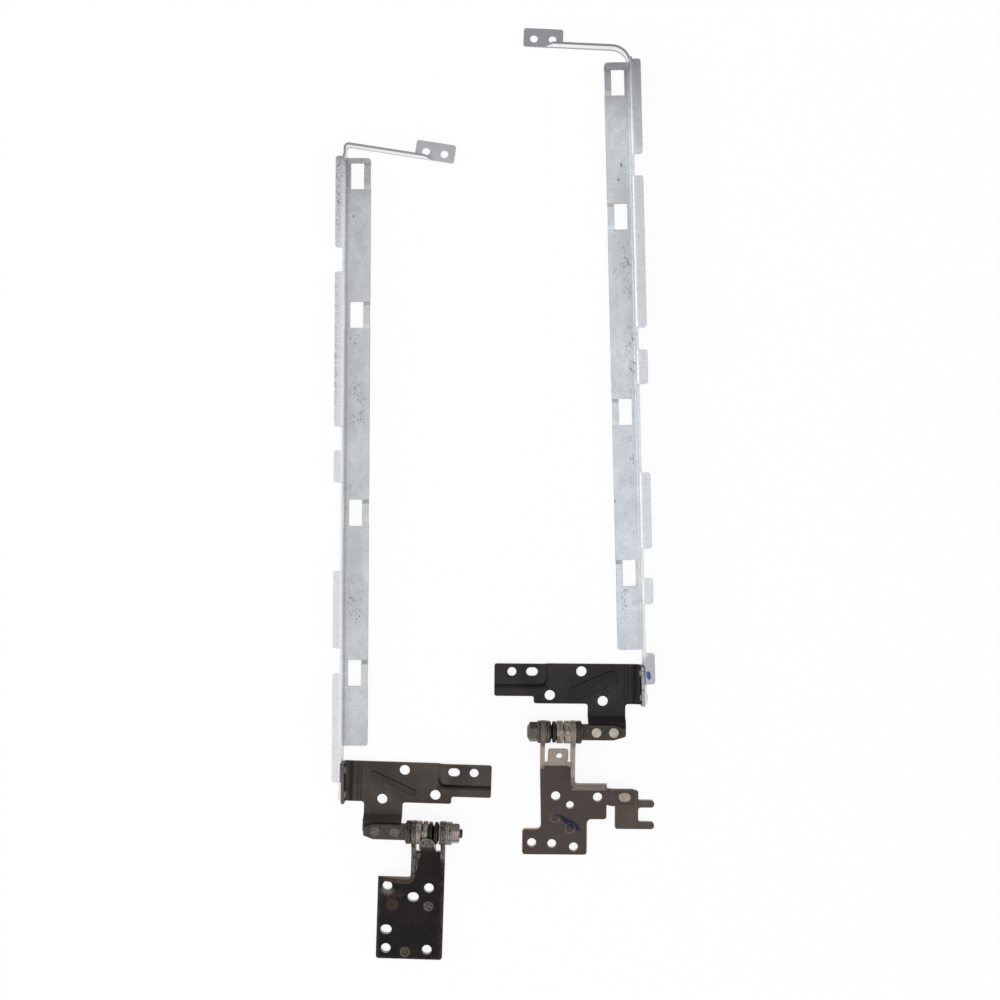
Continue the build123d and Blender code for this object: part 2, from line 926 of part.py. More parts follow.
def left_base_bracket(side):
    x_outer, x_inner = base_edges(side)
    x_plate = x_outer + plate_inset()
    y_plate = left_wing_top - plate_inset()
    body = sheet(
        outline(
            (x_plate, left_column_top, 0),
            (x_inner, left_column_top, 0),
            (x_inner, left_plate_bottom, base_corner),
            (left_wing_x, left_plate_bottom, base_corner),
            (left_wing_x, y_plate, 0),
            (x_plate, y_plate, plate_corner()),
        ),
        base_sheet,
    )
    wall = side_wall(x_outer, left_column_top, left_wing_x, left_wing_top)
    taper_start = x_outer - wall_taper_start
    taper = along(
        y_plate,
        2 * plate_inset(),
        (taper_start, wall_height, 0),
        (left_wing_x, base_sheet, 0),
        (left_wing_x - 1, base_sheet, 0),
        (left_wing_x - 1, wall_height + 1, 0),
        (taper_start, wall_height + 1, 0),
    )
    body += wall - taper
    body += outer_ear(x_outer, left_column_top)
    body += inner_ear(x_inner, left_inner_leg)
    body += curled_tongue(side)
    body -= ear_bores(side)
    for x, y, diameter in left_bosses:
        boss = extrude(Circle(diameter / 2), boss_lift, taper=boss_slope)
        body += Pos(x, y, base_sheet - overlap) * boss
    for x, y in left_bores:
        body -= bore(x, y, left_base_bore)
    for x, y in left_slots:
        body -= slot_bore(x, y, left_slot_length, left_slot_width)
    return body


def polar(radius, angle):
    """Corner in y and z at an angle about the shaft."""
    return (radius * cos(radians(angle)), axis_height + radius * sin(radians(angle)), 0)


def curled_tongue(side):
    """Stop tongue that leaves the plate and curls round the springs."""
    x_outer, _ = base_edges(side)
    start = x_outer + base_sheet + curl_inset
    inner = stack_diameter / 2 + curl_gap
    outer = inner + curl_sheet
    curl = on_shaft(0, extrude(Circle(outer) - Circle(inner), curl_width))
    middle_angle = (curl_end_angle + curl_start_angle) / 2
    keep = across(
        0,
        curl_width,
        (0, axis_height, 0),
        polar(curl_reach, curl_end_angle),
        polar(2 * curl_reach, middle_angle),
        polar(curl_reach, curl_start_angle),
    )
    root = inner * 0.83
    foot = across(
        0,
        curl_width,
        (left_column_top - 0.5, 0, 0),
        (left_column_top - 0.5, base_sheet, 0),
        (-outer * 0.95, base_sheet + curl_foot_rise, 0),
        (-root, base_sheet + curl_foot_rise / 2, 0),
        (-root - curl_foot_rise, curl_foot_rise, 0),
        (-outer - curl_foot_rise, 0, 0),
    )
    tip = outer * cos(radians(curl_end_angle))
    shape = outline(
        (0, left_column_top - 2, 0),
        (curl_width, left_column_top - 2, 0),
        (curl_width, tip, curl_tip_radius),
        (0, tip, curl_tip_radius),
    )
    return Pos(start, 0, 0) * ((curl & keep) + foot & sheet(shape, 4 * axis_height, -1))


def right_base_bracket(side):
    x_outer, x_inner = base_edges(side)
    x_plate = x_outer + plate_inset()
    y_plate = right_wing_top - plate_inset()
    body = sheet(
        outline(
            (x_plate, right_column_top, 0),
            (x_inner, right_column_top, 0),
            (x_inner, -right_inner_leg - leg_slope, 0),
            (x_inner - 0.5, right_foot_top, base_inner_corner),
            (right_foot_x, right_foot_top, base_corner),
            (right_foot_x, right_plate_bottom, base_corner),
            (right_leg_x, right_plate_bottom, base_corner),
            (right_leg_x, right_wing_bottom, base_inner_corner),
            (right_wing_x, right_wing_bottom, base_corner),
            (right_wing_x, y_plate, 0),
            (x_plate, y_plate, plate_corner()),
        ),
        base_sheet,
    )
    wall = side_wall(x_outer, right_column_top, right_wing_x, right_wing_top)
    rounded_end = along(
        2 * right_wing_top,
        -2 * right_wing_top,
        (right_wing_x, -1, 0),
        (x_inner, -1, 0),
        (x_inner, wall_height, 0),
        (right_wing_x, wall_height, wall_end_radius),
    )
    body += wall & rounded_end
    body += outer_ear(x_outer, right_column_top)
    body += inner_ear(x_inner, right_inner_leg)
    body += pilot_tab(side)
    body += riveted_arm()
    body -= ear_bores(side)
    for x in (x_outer + base_sheet + tab_slit_outer / 2, x_inner - base_sheet - tab_slit_inner / 2):
        body -= bore(x, right_column_top, 2 * relief_radius)
    for x, y in right_dimples:
        body -= Pos(x, y, base_sheet) * Cylinder(dimple_diameter / 2, 2 * boss_lift)
    for x, y, diameter in right_bores:
        body -= bore(x, y, diameter)
    return body


def pilot_tab(side):
    """Tab between the ears, leaning up towards the shaft."""
    x_outer, x_inner = base_edges(side)
    start = x_outer + base_sheet + tab_slit_outer
    end = x_inner - base_sheet - tab_slit_inner
    run = tab_end - right_column_top
    rise = run * tan(radians(tab_lean))
    root = right_column_top - base_sheet
    tab = across(
        start,
        end - start,
        (root, 0, 0),
        (right_column_top, 0, tab_bend),
        (tab_end, rise, 0),
        (tab_end, rise + tab_sheet, 0),
        (right_column_top, base_sheet, tab_bend),
        (root, base_sheet, 0),
    )
    shape = outline(
        (start, root - 1, 0),
        (end, root - 1, 0),
        (end, tab_end, tab_corner),
        (start, tab_end, tab_corner),
    )
    hole = bore((start + end) / 2 + tab_bore_offset, tab_end - tab_bore_from_end, tab_bore)
    return (tab & sheet(shape, deep)) - hole


def riveted_arm():
    """Arm stepped up over the fork plate."""
    y_low, y_high = arm_y
    strip = along(
        y_low,
        y_high - y_low,
        (right_wing_x + 1, 0, 0),
        (right_wing_x, 0, 0),
        (right_wing_x - arm_joggle, fork_sheet, 0),
        (arm_tip_x, fork_sheet, 0),
        (arm_tip_x, fork_sheet + base_sheet, 0),
        (right_wing_x - arm_joggle, fork_sheet + base_sheet, 0),
        (right_wing_x, base_sheet, 0),
        (right_wing_x + 1, base_sheet, 0),
    )
    tip = strip.edges().filter_by(Axis.Z).group_by(Axis.X)[0]
    return fillet(tip, base_corner) - bore(*fork_rivet_place, fork_rivet_shank + 2 * rivet_clearance)


def fork_plate():
    x_low, x_high = fork_body_x
    y_low, y_high = fork_y
    slot_low, slot_high = fork_slot_y
    prong_top = slot_high + slot_low - y_low
    body = sheet(
        outline(
            (x_high, y_high, corner_radius),
            (x_high, y_low, corner_radius),
            (fork_tip_x, y_low, fork_prong_radius),
            (fork_tip_x, slot_low, fork_prong_radius),
            (fork_slot_floor, slot_low, fork_slot_radius),
            (fork_slot_floor, slot_high, fork_slot_radius),
            (fork_tip_x, slot_high, fork_prong_radius),
            (fork_tip_x, prong_top, fork_prong_radius),
            (x_low, prong_top, corner_radius),
            (x_low, y_high, corner_radius),
        ),
        fork_sheet,
    )
    seat = Cylinder(fork_rivet_seat / 2 + rivet_clearance, 2 * fork_rivet_seat_depth)
    body -= Pos(*fork_rivet_place) * seat
    return body - bore(*fork_rivet_place, fork_rivet_shank + 2 * rivet_clearance)


def fork_rivet():
    """Rivet with a long flat head above and a foot sunk in the fork plate."""
    top = fork_sheet + base_sheet
    face = SlotOverall(fork_rivet_head_length, fork_rivet_head_width)
    head = extrude(Pos(0, 0, top) * face, fork_rivet_head_rise)
    head = chamfer(head.faces().sort_by(Axis.Z)[-1].edges(), fork_rivet_head_edge)
    shank = Cylinder(fork_rivet_shank / 2, top, align=on_end)
    foot = Cylinder(fork_rivet_seat / 2, fork_rivet_seat_depth, align=on_end)
    return Pos(*fork_rivet_place) * (head + shank + foot)


# Assembly

def lid_pieces(side):
    """Pieces of one hinge that stay with the lid, in the hinge frame."""
    places = stack_places(side)
    pieces = {"lid_bracket": lid_bracket(side), "shaft": shaft(side)}
    for name, offset in rail_rivet_places().items():
        pieces[f"rail_rivet_{name}"] = web_frame(side) * rail_rivet(offset)
    for name, x in zip(("inner", "outer"), side.rivet_x):
        pieces[f"shaft_rivet_{name}"] = shaft_rivet(x)
    pieces["moving_cam"] = on_shaft(places["moving_cam"], moving_cam(side))
    for number in range(1, side.spring_count + 1):
        name = f"disc_spring_{number}"
        pieces[name] = on_shaft(places[name], disc_spring(side, number))
    for name, length in side.front_washers + side.rear_washers:
        pieces[name] = on_shaft(places[name], ring(stack_diameter, length, key_hole()))
    pieces["nut"] = on_shaft(places["nut"], nut(side))
    return pieces


def base_pieces(side):
    """Pieces of one hinge that turn with the laptop's base."""
    places = stack_places(side)
    pieces = {"fixed_cam": on_shaft(places["fixed_cam"], fixed_cam(side))}
    if side.name == "left":
        pieces["base_bracket"] = left_base_bracket(side)
    else:
        pieces["base_bracket"] = right_base_bracket(side)
        pieces["fork_plate"] = fork_plate()
        pieces["fork_rivet"] = fork_rivet()
    return pieces


def placed(side, frame, solid):
    if side.hand < 0:
        solid = mirror(solid, about=Plane.YZ)
    return frame * solid


def assembly():
    """All pieces by node name, as the pair lies."""
    nodes = {}
    for side in (left, right):
        nodes[f"{side.name}_rail"] = placed(side, rail_frame(side), rail(side))
        for name, solid in {**lid_pieces(side), **base_pieces(side)}.items():
            nodes[f"{side.name}_{name}"] = placed(side, hinge_frame(side), solid)
    return nodes


def centring(nodes):
    """Move that puts the bottom centre of the pair's box on the origin."""
    boxes = [solid.bounding_box() for solid in nodes.values()]
    box = boxes[0]
    for other in boxes[1:]:
        box = box.add(other)
    middle = box.center()
    return Pos(-middle.X, -middle.Y, -box.min.Z)


def main():
    os.makedirs("parts", exist_ok=True)
    nodes = assembly()
    shift = centring(nodes)
    for name, solid in nodes.items():
        export_step(shift * solid, f"parts/{name}.step")


if __name__ == "__main__":
    main()
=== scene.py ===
import bpy
import json
import math
from mathutils import Matrix, Vector


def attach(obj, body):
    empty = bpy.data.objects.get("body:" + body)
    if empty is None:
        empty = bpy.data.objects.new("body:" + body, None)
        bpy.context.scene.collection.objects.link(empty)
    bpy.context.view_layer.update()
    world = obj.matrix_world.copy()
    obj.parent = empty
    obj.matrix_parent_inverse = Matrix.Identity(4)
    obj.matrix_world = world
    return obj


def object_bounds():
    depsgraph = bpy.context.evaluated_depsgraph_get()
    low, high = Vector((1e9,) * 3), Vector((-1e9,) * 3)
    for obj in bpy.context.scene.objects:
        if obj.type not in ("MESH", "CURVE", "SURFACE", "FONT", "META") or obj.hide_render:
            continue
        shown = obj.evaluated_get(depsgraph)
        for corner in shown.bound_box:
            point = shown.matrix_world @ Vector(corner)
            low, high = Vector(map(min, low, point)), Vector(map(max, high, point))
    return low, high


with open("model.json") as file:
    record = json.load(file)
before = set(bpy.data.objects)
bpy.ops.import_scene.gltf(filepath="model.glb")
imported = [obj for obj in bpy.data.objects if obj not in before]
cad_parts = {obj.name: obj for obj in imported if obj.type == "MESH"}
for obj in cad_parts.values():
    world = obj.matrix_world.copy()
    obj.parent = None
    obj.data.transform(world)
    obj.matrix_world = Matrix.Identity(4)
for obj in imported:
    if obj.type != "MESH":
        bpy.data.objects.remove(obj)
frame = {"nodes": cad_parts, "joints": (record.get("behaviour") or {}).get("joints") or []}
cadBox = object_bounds()
cadNodes = frame["nodes"]
mm = 0.001
print("frame:", len(cadNodes), "pieces")

# Where each hinge and each rail lies. The hinge places come from the joints.
axisHeight = 4.2
hands = {"left": 1, "right": -1}
collarPlaces = {"left": 23.6, "right": 22.35}
railSettings = {
    "left": {"origin": (-53.45, -88.02), "turn": -0.36},
    "right": {"origin": (52.40, -54.47), "turn": 1.35},
}


def hingePlace(side):
    joint = next(j for j in frame["joints"] if j["name"].startswith(side))
    ax, ay, _ = joint["axis"]
    return {
        "hand": hands[side],
        "origin": Vector((joint["pos_m"][0], joint["pos_m"][1], 0)),
        "turn": math.atan2(-ay, -ax),
        "offset": Vector((collarPlaces[side], 0, 0)),
    }


def railPlace(side):
    x, y = railSettings[side]["origin"]
    return {
        "hand": hands[side],
        "origin": Vector((x * mm, y * mm, 0)),
        "turn": math.radians(railSettings[side]["turn"]),
        "offset": Vector((0, 0, 0)),
    }


def placeMatrix(place):  # from the hinge's or rail's millimetres to metres in the scene
    turn = Matrix.Rotation(place["turn"], 4, "Z")
    scale = Matrix.Diagonal((place["hand"] * mm, mm, mm, 1))
    return Matrix.Translation(place["origin"]) @ turn @ scale @ Matrix.Translation(-place["offset"])


# Node helpers, for shaders and geometry alike
class Wiring:
    def __init__(self, tree):
        self.tree = tree

    def feed(self, socket, value):
        if isinstance(value, bpy.types.NodeSocket):
            self.tree.links.new(value, socket)
        else:
            socket.default_value = value

    def node(self, kind, values=None, **settings):
        made = self.tree.nodes.new(kind)
        for name, value in settings.items():
            setattr(made, name, value)
        for name, value in (values or {}).items():
            self.feed(made.inputs[name], value)
        return made

    def maths(self, operation, first, second=0.0, clamp=False):
        values = {0: first, 1: second}
        return self.node("ShaderNodeMath", values, operation=operation, use_clamp=clamp).outputs[0]

    def vector(self, operation, first, second=(0, 0, 0)):
        made = self.node("ShaderNodeVectorMath", {0: first, 1: second}, operation=operation)
        return made.outputs["Value"] if operation in ("LENGTH", "DOT_PRODUCT") else made.outputs[0]

    def fade(self, value, low, high, start=0.0, end=1.0):
        values = {"Value": value, "From Min": low, "From Max": high, "To Min": start, "To Max": end}
        made = self.node("ShaderNodeMapRange", values, interpolation_type="SMOOTHSTEP")
        return made.outputs["Result"]

    def band(self, value, low, high, soft):  # 1 between low and high
        rise = self.fade(value, low - soft, low + soft)
        fall = self.fade(value, high - soft, high + soft, 1.0, 0.0)
        return self.maths("MULTIPLY", rise, fall)

    def times(self, *masks):
        result = masks[0]
        for mask in masks[1:]:
            result = self.maths("MULTIPLY", result, mask)
        return result

    def most(self, *masks):
        result = masks[0]
        for mask in masks[1:]:
            result = self.maths("MAXIMUM", result, mask)
        return result

    def without(self, mask):
        return self.maths("SUBTRACT", 1.0, mask, True)

    def mix(self, factor, first, second, blend="MIX"):
        linked = bpy.types.NodeSocket
        first, second = (c if isinstance(c, linked) else (*c, 1) for c in (first, second))
        values = {0: factor, 6: first, 7: second}
        made = self.node("ShaderNodeMix", values, data_type="RGBA", blend_type=blend, clamp_factor=True)
        return made.outputs[2]

    def noise(self, vector, scale, detail=2.0, rough=0.5, twist=0.0):
        values = {"Vector": vector, "Scale": scale, "Detail": detail, "Roughness": rough}
        made = self.node("ShaderNodeTexNoise", {**values, "Distortion": twist})
        return made.outputs["Fac"]

    def cells(self, vector, scale, output):
        return self.node("ShaderNodeTexVoronoi", {"Vector": vector, "Scale": scale}).outputs[output]

    def stretch(self, vector, scale):
        return self.node("ShaderNodeMapping", {"Vector": vector, "Scale": scale}).outputs["Vector"]

    def parts(self, vector):
        made = self.node("ShaderNodeSeparateXYZ", {"Vector": vector})
        return made.outputs[0], made.outputs[1], made.outputs[2]

    def join(self, x, y, z):
        return self.node("ShaderNodeCombineXYZ", {0: x, 1: y, 2: z}).outputs[0]

    def group(self, group, values):
        return self.node("ShaderNodeGroup", values, node_tree=group).outputs


socketKinds = {
    "float": "NodeSocketFloat",
    "int": "NodeSocketInt",
    "vector": "NodeSocketVector",
    "material": "NodeSocketMaterial",
}


def newGroup(name, inputs, outputs):
    tree = bpy.data.node_groups.new(name, "ShaderNodeTree")
    for label, kind, value in inputs:
        socket = tree.interface.new_socket(label, in_out="INPUT", socket_type=socketKinds[kind])
        socket.default_value = value
    for label, kind in outputs:
        tree.interface.new_socket(label, in_out="OUTPUT", socket_type=socketKinds[kind])
    wiring = Wiring(tree)
    return wiring, wiring.node("NodeGroupInput").outputs, wiring.node("NodeGroupOutput")


# Effects that several finishes share. A noise is scale, detail, roughness and twist,
# and its cut is where it begins and where it is full.
effectSettings = {
    "edge": {"lean": (0.004, 0.11), "noise": (1.7, 4, 0.6), "cut": (0.38, 0.60)},
    "spot": {"noise": (1.3, 3, 0.6), "rim": 0.86, "rimCut": (0.04, 0.18)},
    "rubbing": {
        "fine": (1.5, 5, 0.65, 0.6),
        "fineCut": (0.51, 0.63),
        "clusters": (0.16, 3, 0.6),
        "clusterCut": (0.40, 0.58),
    },
    "speckle": {
        "grain": (3, 0.7),
        "grainCut": (0.3, 0.7),
        "patch": (4, 0.6, 0.4),
        "patchCut": (0.33, 0.67),
    },
    "turning": {
        "squeeze": (1.0, 0.12, 0.12),
        "ring": (3, 0.7),
        "ringCut": (0.36, 0.62),
        "blotch": (0.9, 4, 0.65, 0.8),
        "blotchCut": (0.42, 0.62),
    },
}


def buildSheetEdge():
    # Rounds the sheared edges in the shading, and finds them for wear
    w, given, out = newGroup(
        "sheetEdge",
        [("Vector", "vector", (0, 0, 0)), ("Radius", "float", 0.00015), ("Broken", "float", 0.5)],
        [("Normal", "vector"), ("Edge", "float")],
    )
    settings, broken = effectSettings["edge"], given["Broken"]
    bevel = w.node("ShaderNodeBevel", {"Radius": given["Radius"]}, samples=4).outputs["Normal"]
    flat = w.node("ShaderNodeNewGeometry").outputs["Normal"]
    lean = w.maths("SUBTRACT", 1.0, w.vector("DOT_PRODUCT", bevel, flat))
    edge = w.fade(lean, *settings["lean"])
    chips = w.fade(w.noise(given["Vector"], *settings["noise"]), *settings["cut"])
    keep = w.maths("ADD", w.maths("MULTIPLY", chips, broken), w.maths("SUBTRACT", 1.0, broken))
    w.tree.links.new(bevel, out.inputs["Normal"])
    w.tree.links.new(w.times(edge, keep), out.inputs["Edge"])
    return w.tree


def buildSpot():
    # A round or oval mark with a ragged rim, at a place in millimetres
    w, given, out = newGroup(
        "spot",
        [
            ("Vector", "vector", (0, 0, 0)),
            ("Centre", "vector", (0, 0, 0)),
            ("Size", "vector", (1, 1, 1)),
            ("Turn", "float", 0.0),
            ("Soft", "float", 0.2),
            ("Ragged", "float", 0.3),
        ],
        [("Mask", "float"), ("Ring", "float")],
    )
    settings = effectSettings["spot"]
    local = w.vector("SUBTRACT", given["Vector"], given["Centre"])
    values = {"Vector": local, "Angle": given["Turn"]}
    local = w.node("ShaderNodeVectorRotate", values, rotation_type="Z_AXIS").outputs[0]
    reach = w.vector("LENGTH", w.vector("DIVIDE", local, given["Size"]))
    ragged = w.maths("SUBTRACT", w.noise(given["Vector"], *settings["noise"]), 0.5)
    reach = w.maths("ADD", reach, w.maths("MULTIPLY", ragged, given["Ragged"]))
    low, high = w.maths("SUBTRACT", 1.0, given["Soft"]), w.maths("ADD", 1.0, given["Soft"])
    w.tree.links.new(w.fade(reach, low, high, 1.0, 0.0), out.inputs["Mask"])
    fromRim = w.maths("ABSOLUTE", w.maths("SUBTRACT", reach, settings["rim"]))
    w.tree.links.new(w.fade(fromRim, *settings["rimCut"], 1.0, 0.0), out.inputs["Ring"])
    return w.tree


def buildRubbing():
    # Short dark scuffs, drawn out along the second axis
    w, given, out = newGroup(
        "rubbing",
        [("Vector", "vector", (0, 0, 0)), ("Length", "float", 1.0)],
        [("Mask", "float")],
    )
    settings = effectSettings["rubbing"]
    x, y, z = w.parts(given["Vector"])
    drawn = w.join(x, w.maths("DIVIDE", y, given["Length"]), z)
    fine = w.fade(w.noise(drawn, *settings["fine"]), *settings["fineCut"])
    clusters = w.fade(w.noise(given["Vector"], *settings["clusters"]), *settings["clusterCut"])
    w.tree.links.new(w.times(fine, clusters), out.inputs["Mask"])
    return w.tree


def buildSpeckle():
    # Fine pale and dark grain of a plated or rolled surface
    w, given, out = newGroup(
        "speckle",
        [("Vector", "vector", (0, 0, 0)), ("Grain", "float", 3.0), ("Patch", "float", 0.08)],
        [("Grain", "float"), ("Patch", "float")],
    )
    settings = effectSettings["speckle"]
    grain = w.noise(given["Vector"], given["Grain"], *settings["grain"])
    patch = w.noise(given["Vector"], given["Patch"], *settings["patch"])
    w.tree.links.new(w.fade(grain, *settings["grainCut"]), out.inputs["Grain"])
    w.tree.links.new(w.fade(patch, *settings["patchCut"]), out.inputs["Patch"])
    return w.tree


def buildTurning():
    # Rings round the shaft, as the tool and years of turning leave them
    w, given, out = newGroup(
        "turning",
        [("Vector", "vector", (0, 0, 0)), ("Fine", "float", 6.0)],
        [("Ring", "float"), ("Blotch", "float")],
    )
    settings = effectSettings["turning"]
    ring = w.noise(w.stretch(given["Vector"], settings["squeeze"]), given["Fine"], *settings["ring"])
    blotch = w.noise(given["Vector"], *settings["blotch"])
    w.tree.links.new(w.fade(ring, *settings["ringCut"]), out.inputs["Ring"])
    w.tree.links.new(w.fade(blotch, *settings["blotchCut"]), out.inputs["Blotch"])
    return w.tree


effects = {
    "edge": buildSheetEdge(),
    "spot": buildSpot(),
    "rubbing": buildRubbing(),
    "speckle": buildSpeckle(),
    "turning": buildTurning(),
}
print("effects:", ", ".join(effects))


class Finish:
    # One material: a Principled surface, with the place of the pattern in millimetres
    def __init__(self, name, place, settings):
        self.material = bpy.data.materials.new(name)
        self.material.use_nodes = True
        tree = self.material.node_tree
        tree.nodes.clear()
        self.w = Wiring(tree)
        self.shader = self.w.node("ShaderNodeBsdfPrincipled", settings["surface"])
        output = self.w.node("ShaderNodeOutputMaterial")
        tree.links.new(self.shader.outputs[0], output.inputs[0])
        self.here = self.localVector(place)
        radius, broken = settings["edgeWear"]
        edge = self.effect("edge", {"Radius": radius, "Broken": broken})
        self.normal, self.edge = edge["Normal"], edge["Edge"]
        self.colour = None

    def effect(self, name, values):
        return self.w.group(effects[name], {"Vector": self.here, **values})

    def pattern(self, noise, cut, squeeze=None):
        vector = self.w.stretch(self.here, squeeze) if squeeze else self.here
        return self.w.fade(self.w.noise(vector, *noise), *cut)

    def coat(self, tone, *masks):  # lays a tone over the colour, as far as the masks go
        self.colour = self.w.mix(self.w.times(*masks), self.colour, tone)

    def localVector(self, place):  # Object coordinates, turned into the hinge's own millimetres
        coordinates = self.w.node("ShaderNodeTexCoord").outputs["Object"]
        scale = Vector((place["hand"], 1, 1)) / mm
        angle = -place["hand"] * place["turn"]
        origin = Vector(a * b for a, b in zip(scale, place["origin"]))
        shift = place["offset"] - Matrix.Rotation(angle, 3, "Z") @ origin
        values = {"Vector": coordinates, "Location": shift, "Rotation": (0, 0, angle), "Scale": scale}
        return self.w.node("ShaderNodeMapping", values).outputs["Vector"]

    def spot(self, centre, size, turn=0.0, soft=0.2, ragged=0.3):
        depth = 40.0  # a mark on the sheet, whatever its level
        values = {"Centre": (*centre, 0), "Size": (*size, depth), "Turn": math.radians(turn)}
        return self.effect("spot", {**values, "Soft": soft, "Ragged": ragged})

    def upright(self):  # 1 on the walls of holes and on sheared edges
        normal = self.w.node("ShaderNodeTexCoord").outputs["Normal"]
        return self.w.fade(self.w.maths("ABSOLUTE", self.w.parts(normal)[2]), 0.6, 0.3)

    def set(self, name, value):
        self.w.tree.links.new(value, self.shader.inputs[name])

    def bump(self, height, strength, distance):
        values = {"Height": height, "Strength": strength, "Distance": distance, "Normal": self.normal}
        self.normal = self.w.node("ShaderNodeBump", values).outputs["Normal"]

    def relief(self, noise, strength, distance):
        self.bump(self.w.noise(self.here, *noise), strength, distance)

    def done(self, roughness):
        self.set("Base Color", self.colour)
        self.set("Roughness", roughness)
        self.set("Normal", self.normal)
        return self.material


# Galvanised rails. Places are in the rail's millimetres: two numbers are where a tone
# begins and where it is full, three are a band and how soft its ends are.
zincSettings = {
    "surface": {"Metallic": 0.8, "Specular IOR Level": 0.45},
    "edgeWear": (0.16 * mm, 0.35),
    "speckle": {"Grain": 2.6, "Patch": 0.045},
    "rubbing": {"Length": 1.6},
    "rough": (0.40, 0.54),
    "light": (0.70, 0.72, 0.73),
    "dark": (0.60, 0.62, 0.63),
    "glint": (0.82, 0.83, 0.83),
    # web: near-white tone, a painted highlight on the web's inner face and the arm's upright face
    "web": (0.97, 0.98, 0.99),
    "pit": (0.36, 0.36, 0.37),
    "grime": (0.235, 0.220, 0.235),
    "rub": (0.150, 0.145, 0.150),
    "edge": (0.300, 0.290, 0.285),
    "ink": (0.022, 0.060, 0.320),
    "amounts": {"glint": 0.4, "pits": 0.38, "armFace": 0.9, "armTop": 0.5, "edge": 0.7},
    "spangle": {"squeeze": (1.0, 0.55, 1.0), "scale": 0.55, "shades": (0.95, 1.04)},
    "glintCut": (0.62, 0.95),
    "pits": {"noise": (1.7, 5, 0.8), "cut": (0.53, 0.62)},
    "blotch": {"noise": (1.15, 5, 0.7, 0.9), "cut": (0.46, 0.60)},
    "bendWear": {"noise": (1.1, 5, 0.75), "cut": (0.22, 0.70, 0.25, 1.0)},
    "grainRelief": (0.10, 0.04 * mm),
    "dents": {"noise": (0.35, 2), "strength": 0.15, "distance": 0.4 * mm},
}
zincPlaces = {
    "webFoot": (1.2, 2.0),
    "webFace": (1.4, 0.9),
    "webEnd": (204.0, 200.0),
    "tabs": (0.0, -0.3),
    "farEnd": (180.0, 206.0),
    "bend": (0.85, 1.35, 0.2),
    "bendTop": (1.7, 1.3),
    "armStart": (203.9, 204.5),
    "armFoot": (0.85, 1.0),
    "shearedTop": (1.62, 1.5),
    "shearedSide": (1.1, 1.6),
    "shearedEnd": (204.0, 203.5),
}
markLooks = {  # the tone, the amount and the shape of each kind of mark
    "rubs": ("rub", 0.75, {"soft": 0.45}),
    "grime": ("grime", 0.55, {"soft": 0.5}),
    "smudges": ("grime", 0.16, {"soft": 0.6, "ragged": 0.8}),
    "chips": ("rub", 0.7, {"ragged": 0.9}),
    "ink": ("ink", 0.9, {"turn": 8, "soft": 0.25, "ragged": 0.7}),
}
railMarks = {
    "left": {
        "rubs": [((5.0, 119.0), (2.6, 11.0)), ((5.0, 51.0), (2.6, 9.0)), ((3.2, 143.0), (2.2, 5.0))],
        "grime": [((4.0, 203.5), (7.0, 8.0)), ((-1.8, 190.0), (1.3, 16.0)),
                  ((-2.1, 140.0), (0.8, 30.0))],
        "chips": [((-1.3, 191.2), (0.30, 0.55)), ((-1.4, 188.6), (0.36, 0.60)),
                  ((3.2, 184.8), (0.32, 0.50))],
        "smudges": [((5.1, 168.8), (0.9, 0.8)), ((5.6, 178.0), (2.0, 5.0)),
                    ((4.4, 62.0), (2.6, 12.0))],
        "ink": [],
        "bend": 0.55,
        "tint": (1.045, 1.045, 1.030),
        "web": 0.9,
        "tabs": (0.35, "dark"),
        "farShade": 0.35,
        "dull": [],
    },
    "right": {
        "rubs": [((2.8, 133.0), (2.2, 11.0)), ((2.2, 104.0), (1.8, 12.0)), ((7.8, 130.0), (1.6, 3.0)),
                 ((3.2, 68.0), (1.8, 8.0)), ((5.4, 20.0), (2.0, 12.0))],
        "grime": [((5.0, 203.0), (8.0, 3.0))],
        "chips": [((4.6, 197.0), (0.3, 0.5)), ((8.9, 52.0), (0.25, 0.4)), ((4.0, 169.3), (0.35, 0.8)),
                  ((5.1, 164.2), (0.4, 0.5)), ((-3.1, 174.9), (0.5, 0.5))],
        "smudges": [((4.2, 150.0), (3.0, 16.0)), ((5.0, 60.0), (3.2, 3.0))],
        "ink": [((-0.75, -8.3), (0.75, 1.55))],
        "bend": 0.18,
        "tint": (1.17, 1.19, 1.21),
        "web": 0.6,
        "tabs": (0.3, "dark"),
        "farShade": 0.85,
        "dull": [((-2.0, -6.8), (3.6, 6.5), 0.6), ((-2.0, 188.0), (2.4, 14.0), 0.3)],
    },
}


